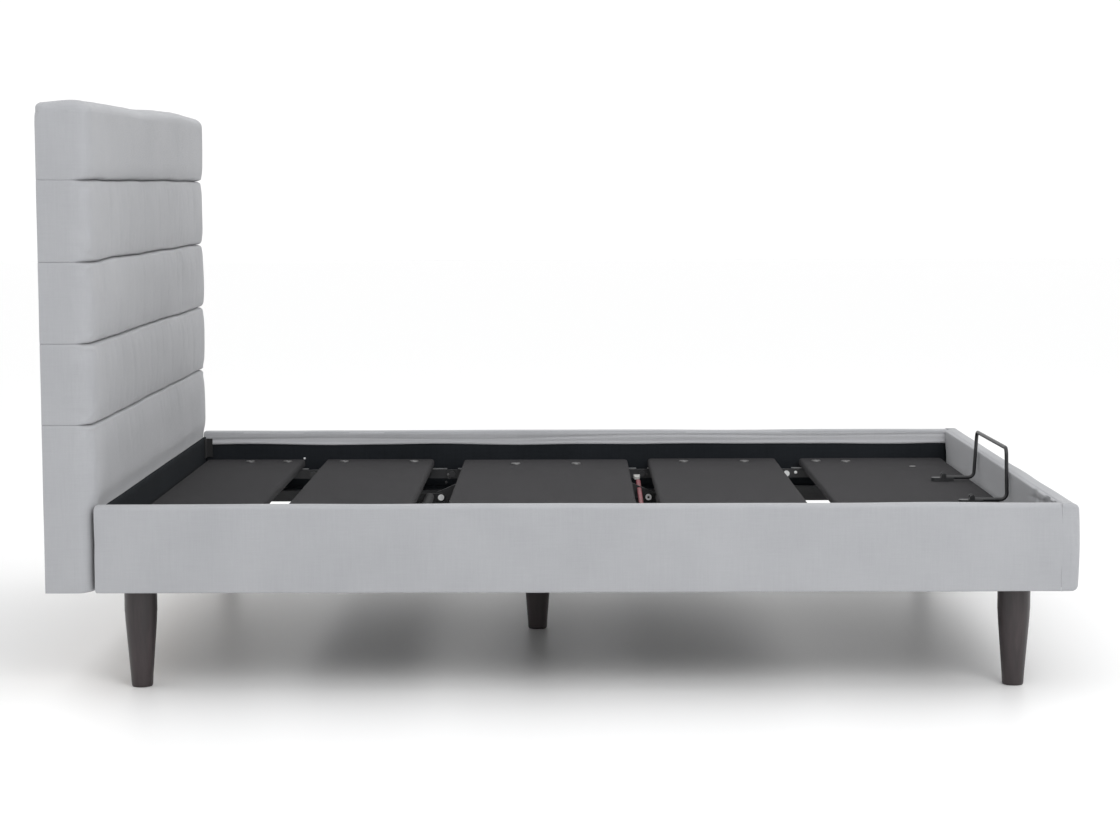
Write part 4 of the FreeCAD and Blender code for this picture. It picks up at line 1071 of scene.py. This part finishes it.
def stray_bolts():
    """A bolt near the far lining's head end, a dark disc painted on a lift arm bolt as the shade in
    its socket, a cap on the foot panel.
    """
    lining_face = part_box("lining_far")[0][1]
    on_lining = (FRONT_PLANE + 280.5 * MM, lining_face, 337 * MM)
    dome = [(3 * MM, 0), (2.8 * MM, 1.2 * MM), (1.8 * MM, 2.0 * MM), (0.5 * MM, 2.2 * MM)]
    lathe("lining_bolt", dome, on_lining, (0, -1, 0), PLATED, "base")
    # A dark raised disc on the bolt's face: painted shade standing in for its driving socket.
    on_arm_bolt = (0.2247, 0.3663, 0.278)
    socket = [(3 * MM, 0), (3 * MM, 0.5 * MM), (2.4 * MM, 0.8 * MM), (0.6 * MM, 0.8 * MM)]
    lathe("thigh_arm_bolt_shade_disc", socket, on_arm_bolt, (0, -1, 0), OXIDE, "base")
    on_panel = (FRONT_PLANE + 1935 * MM, 0.534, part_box("panel_foot")[1][2])
    cap = [(9 * MM, 0), (9 * MM, 1.2 * MM), (7 * MM, 2.2 * MM), (3 * MM, 2.2 * MM),
           (2 * MM, 1.4 * MM)]
    lathe("panel_foot_cap", cap, on_panel, (0, 0, 1), BOLT, "foot")


def lead_path():
    """Along the red lead, from the near side to its plug beside the thigh hinge."""
    points = [(1193, -0.250, 291), (1193.5, -0.100, 292), (1195, 0.060, 294), (1196.5, 0.200, 296),
              (1197.8, 0.330, 298), (1199, 0.450, 300), (1200, 0.540, 301)]
    return [Vector((FRONT_PLANE + x * MM, y, z * MM)) for x, y, z in points]


LEAD_HALF_WIDTH = 6 * MM
LEAD_HALF_HEIGHT = 3.2 * MM
LEAD_SIDES = 20
PLUG_RINGS = ((0, 6, 3.5), (1, 7, 4), (30, 7, 4), (31, 9, 5), (44, 9, 5), (46, 8, 4))


def red_lead():
    """A flat red sleeve over the thigh motor's lead, and the pale plug just beyond its end."""
    points = []
    path = lead_path()
    for first, second in zip(path, path[1:]):
        points += [first.lerp(second, step / 8) for step in range(8)]
    points.append(path[-1])
    rings = []
    for index, point in enumerate(points):
        ahead = points[min(index + 1, len(points) - 1)] - points[max(index - 1, 0)]
        side = ahead.cross(Vector((0, 0, 1))).normalized()
        upward = side.cross(ahead).normalized()
        ribs = 1 + 0.04 * math.sin(index * 2.1)
        turns = [math.tau * step / LEAD_SIDES for step in range(LEAD_SIDES)]
        rings.append([point + side * (LEAD_HALF_WIDTH * math.cos(turn)) * ribs
                      + upward * (LEAD_HALF_HEIGHT * math.sin(turn)) * ribs for turn in turns])
    verts, faces = loft(rings)
    mesh_piece("thigh_lead", verts, faces, RED_PLASTIC, "base")
    end = path[-1] + Vector((-2 * MM, 34 * MM, 2 * MM))
    rings = []
    for along, width, tall in PLUG_RINGS:
        u, v, turn = width * MM, tall * MM, 1.2 * MM
        outline = rounded([(u, -v, turn), (u, v, turn), (-u, v, turn), (-u, -v, turn)], 3)
        rings.append([end + Vector((point.x, along * MM, point.y)) for point in outline])
    verts, faces = loft(rings)
    crisp(mesh_piece("thigh_lead_plug", verts, faces, WHITE_PLASTIC, "base"), 40)


small_bolts()
stray_bolts()
red_lead()


# --------------------------------------------------------------- stage and view

def area_light(name, place, target, size, power):
    data = bpy.data.lights.new(name, "AREA")
    data.shape = "DISK"
    data.size = size
    data.energy = power
    lamp = bpy.data.objects.new(name, data)
    lamp.location = place
    lamp.rotation_euler = (Vector(target) - Vector(place)).to_track_quat("-Z", "Y").to_euler()
    scene.collection.objects.link(lamp)


def stage():
    mesh = bpy.data.meshes.new("floor")
    span = 30.0
    corners = [(-span, -span, 0), (span, -span, 0), (span, span, 0), (-span, span, 0)]
    mesh.from_pydata(corners, [], [(0, 1, 2, 3)])
    floor = bpy.data.objects.new("floor", mesh)
    scene.collection.objects.link(floor)
    material, _, bsdf = new_material("floor_white")
    bsdf.inputs["Base Color"].default_value = (0.93, 0.93, 0.93, 1)
    bsdf.inputs["Roughness"].default_value = 0.42
    bsdf.inputs["Specular IOR Level"].default_value = 0.35
    mesh.materials.append(material)
    world = bpy.data.worlds.new("studio")
    world.use_nodes = True
    background = world.node_tree.nodes["Background"]
    background.inputs["Color"].default_value = (1, 1, 1, 1)
    background.inputs["Strength"].default_value = 1.0
    scene.world = world
    area_light("overhead", place=(-0.6, 1.2, 4.2), target=(0, 0, 0.3), size=4.5, power=24)
    area_light("front_right", place=(2.2, -5.2, 3.8), target=(-0.2, 0, 0.4), size=3.2, power=120)
    scene.view_settings.view_transform = "Standard"
    scene.view_settings.look = "None"
    scene.view_settings.exposure = 0.08


def camera():
    """The photograph's view: nearly square to the bed's side, from a little above it."""
    data = bpy.data.cameras.new("camera")
    data.sensor_width = 36.0
    data.lens = 78.39
    data.clip_end = 100.0
    pitch, yaw, roll = 0.096, -0.0036, -0.0029
    level = math.cos(pitch)
    forward = Vector((math.sin(yaw) * level, math.cos(yaw) * level, -math.sin(pitch)))
    right = Vector((math.cos(yaw), -math.sin(yaw), 0))
    up = right.cross(forward)
    turned_right = math.cos(roll) * right + math.sin(roll) * up
    turned_up = -math.sin(roll) * right + math.cos(roll) * up
    item = bpy.data.objects.new("camera", data)
    item.matrix_world = Matrix((turned_right, turned_up, -forward)).transposed().to_4x4()
    item.location = (0.0168, -5.9578, 1.0901)
    scene.collection.objects.link(item)
    scene.camera = item


stage()
camera()
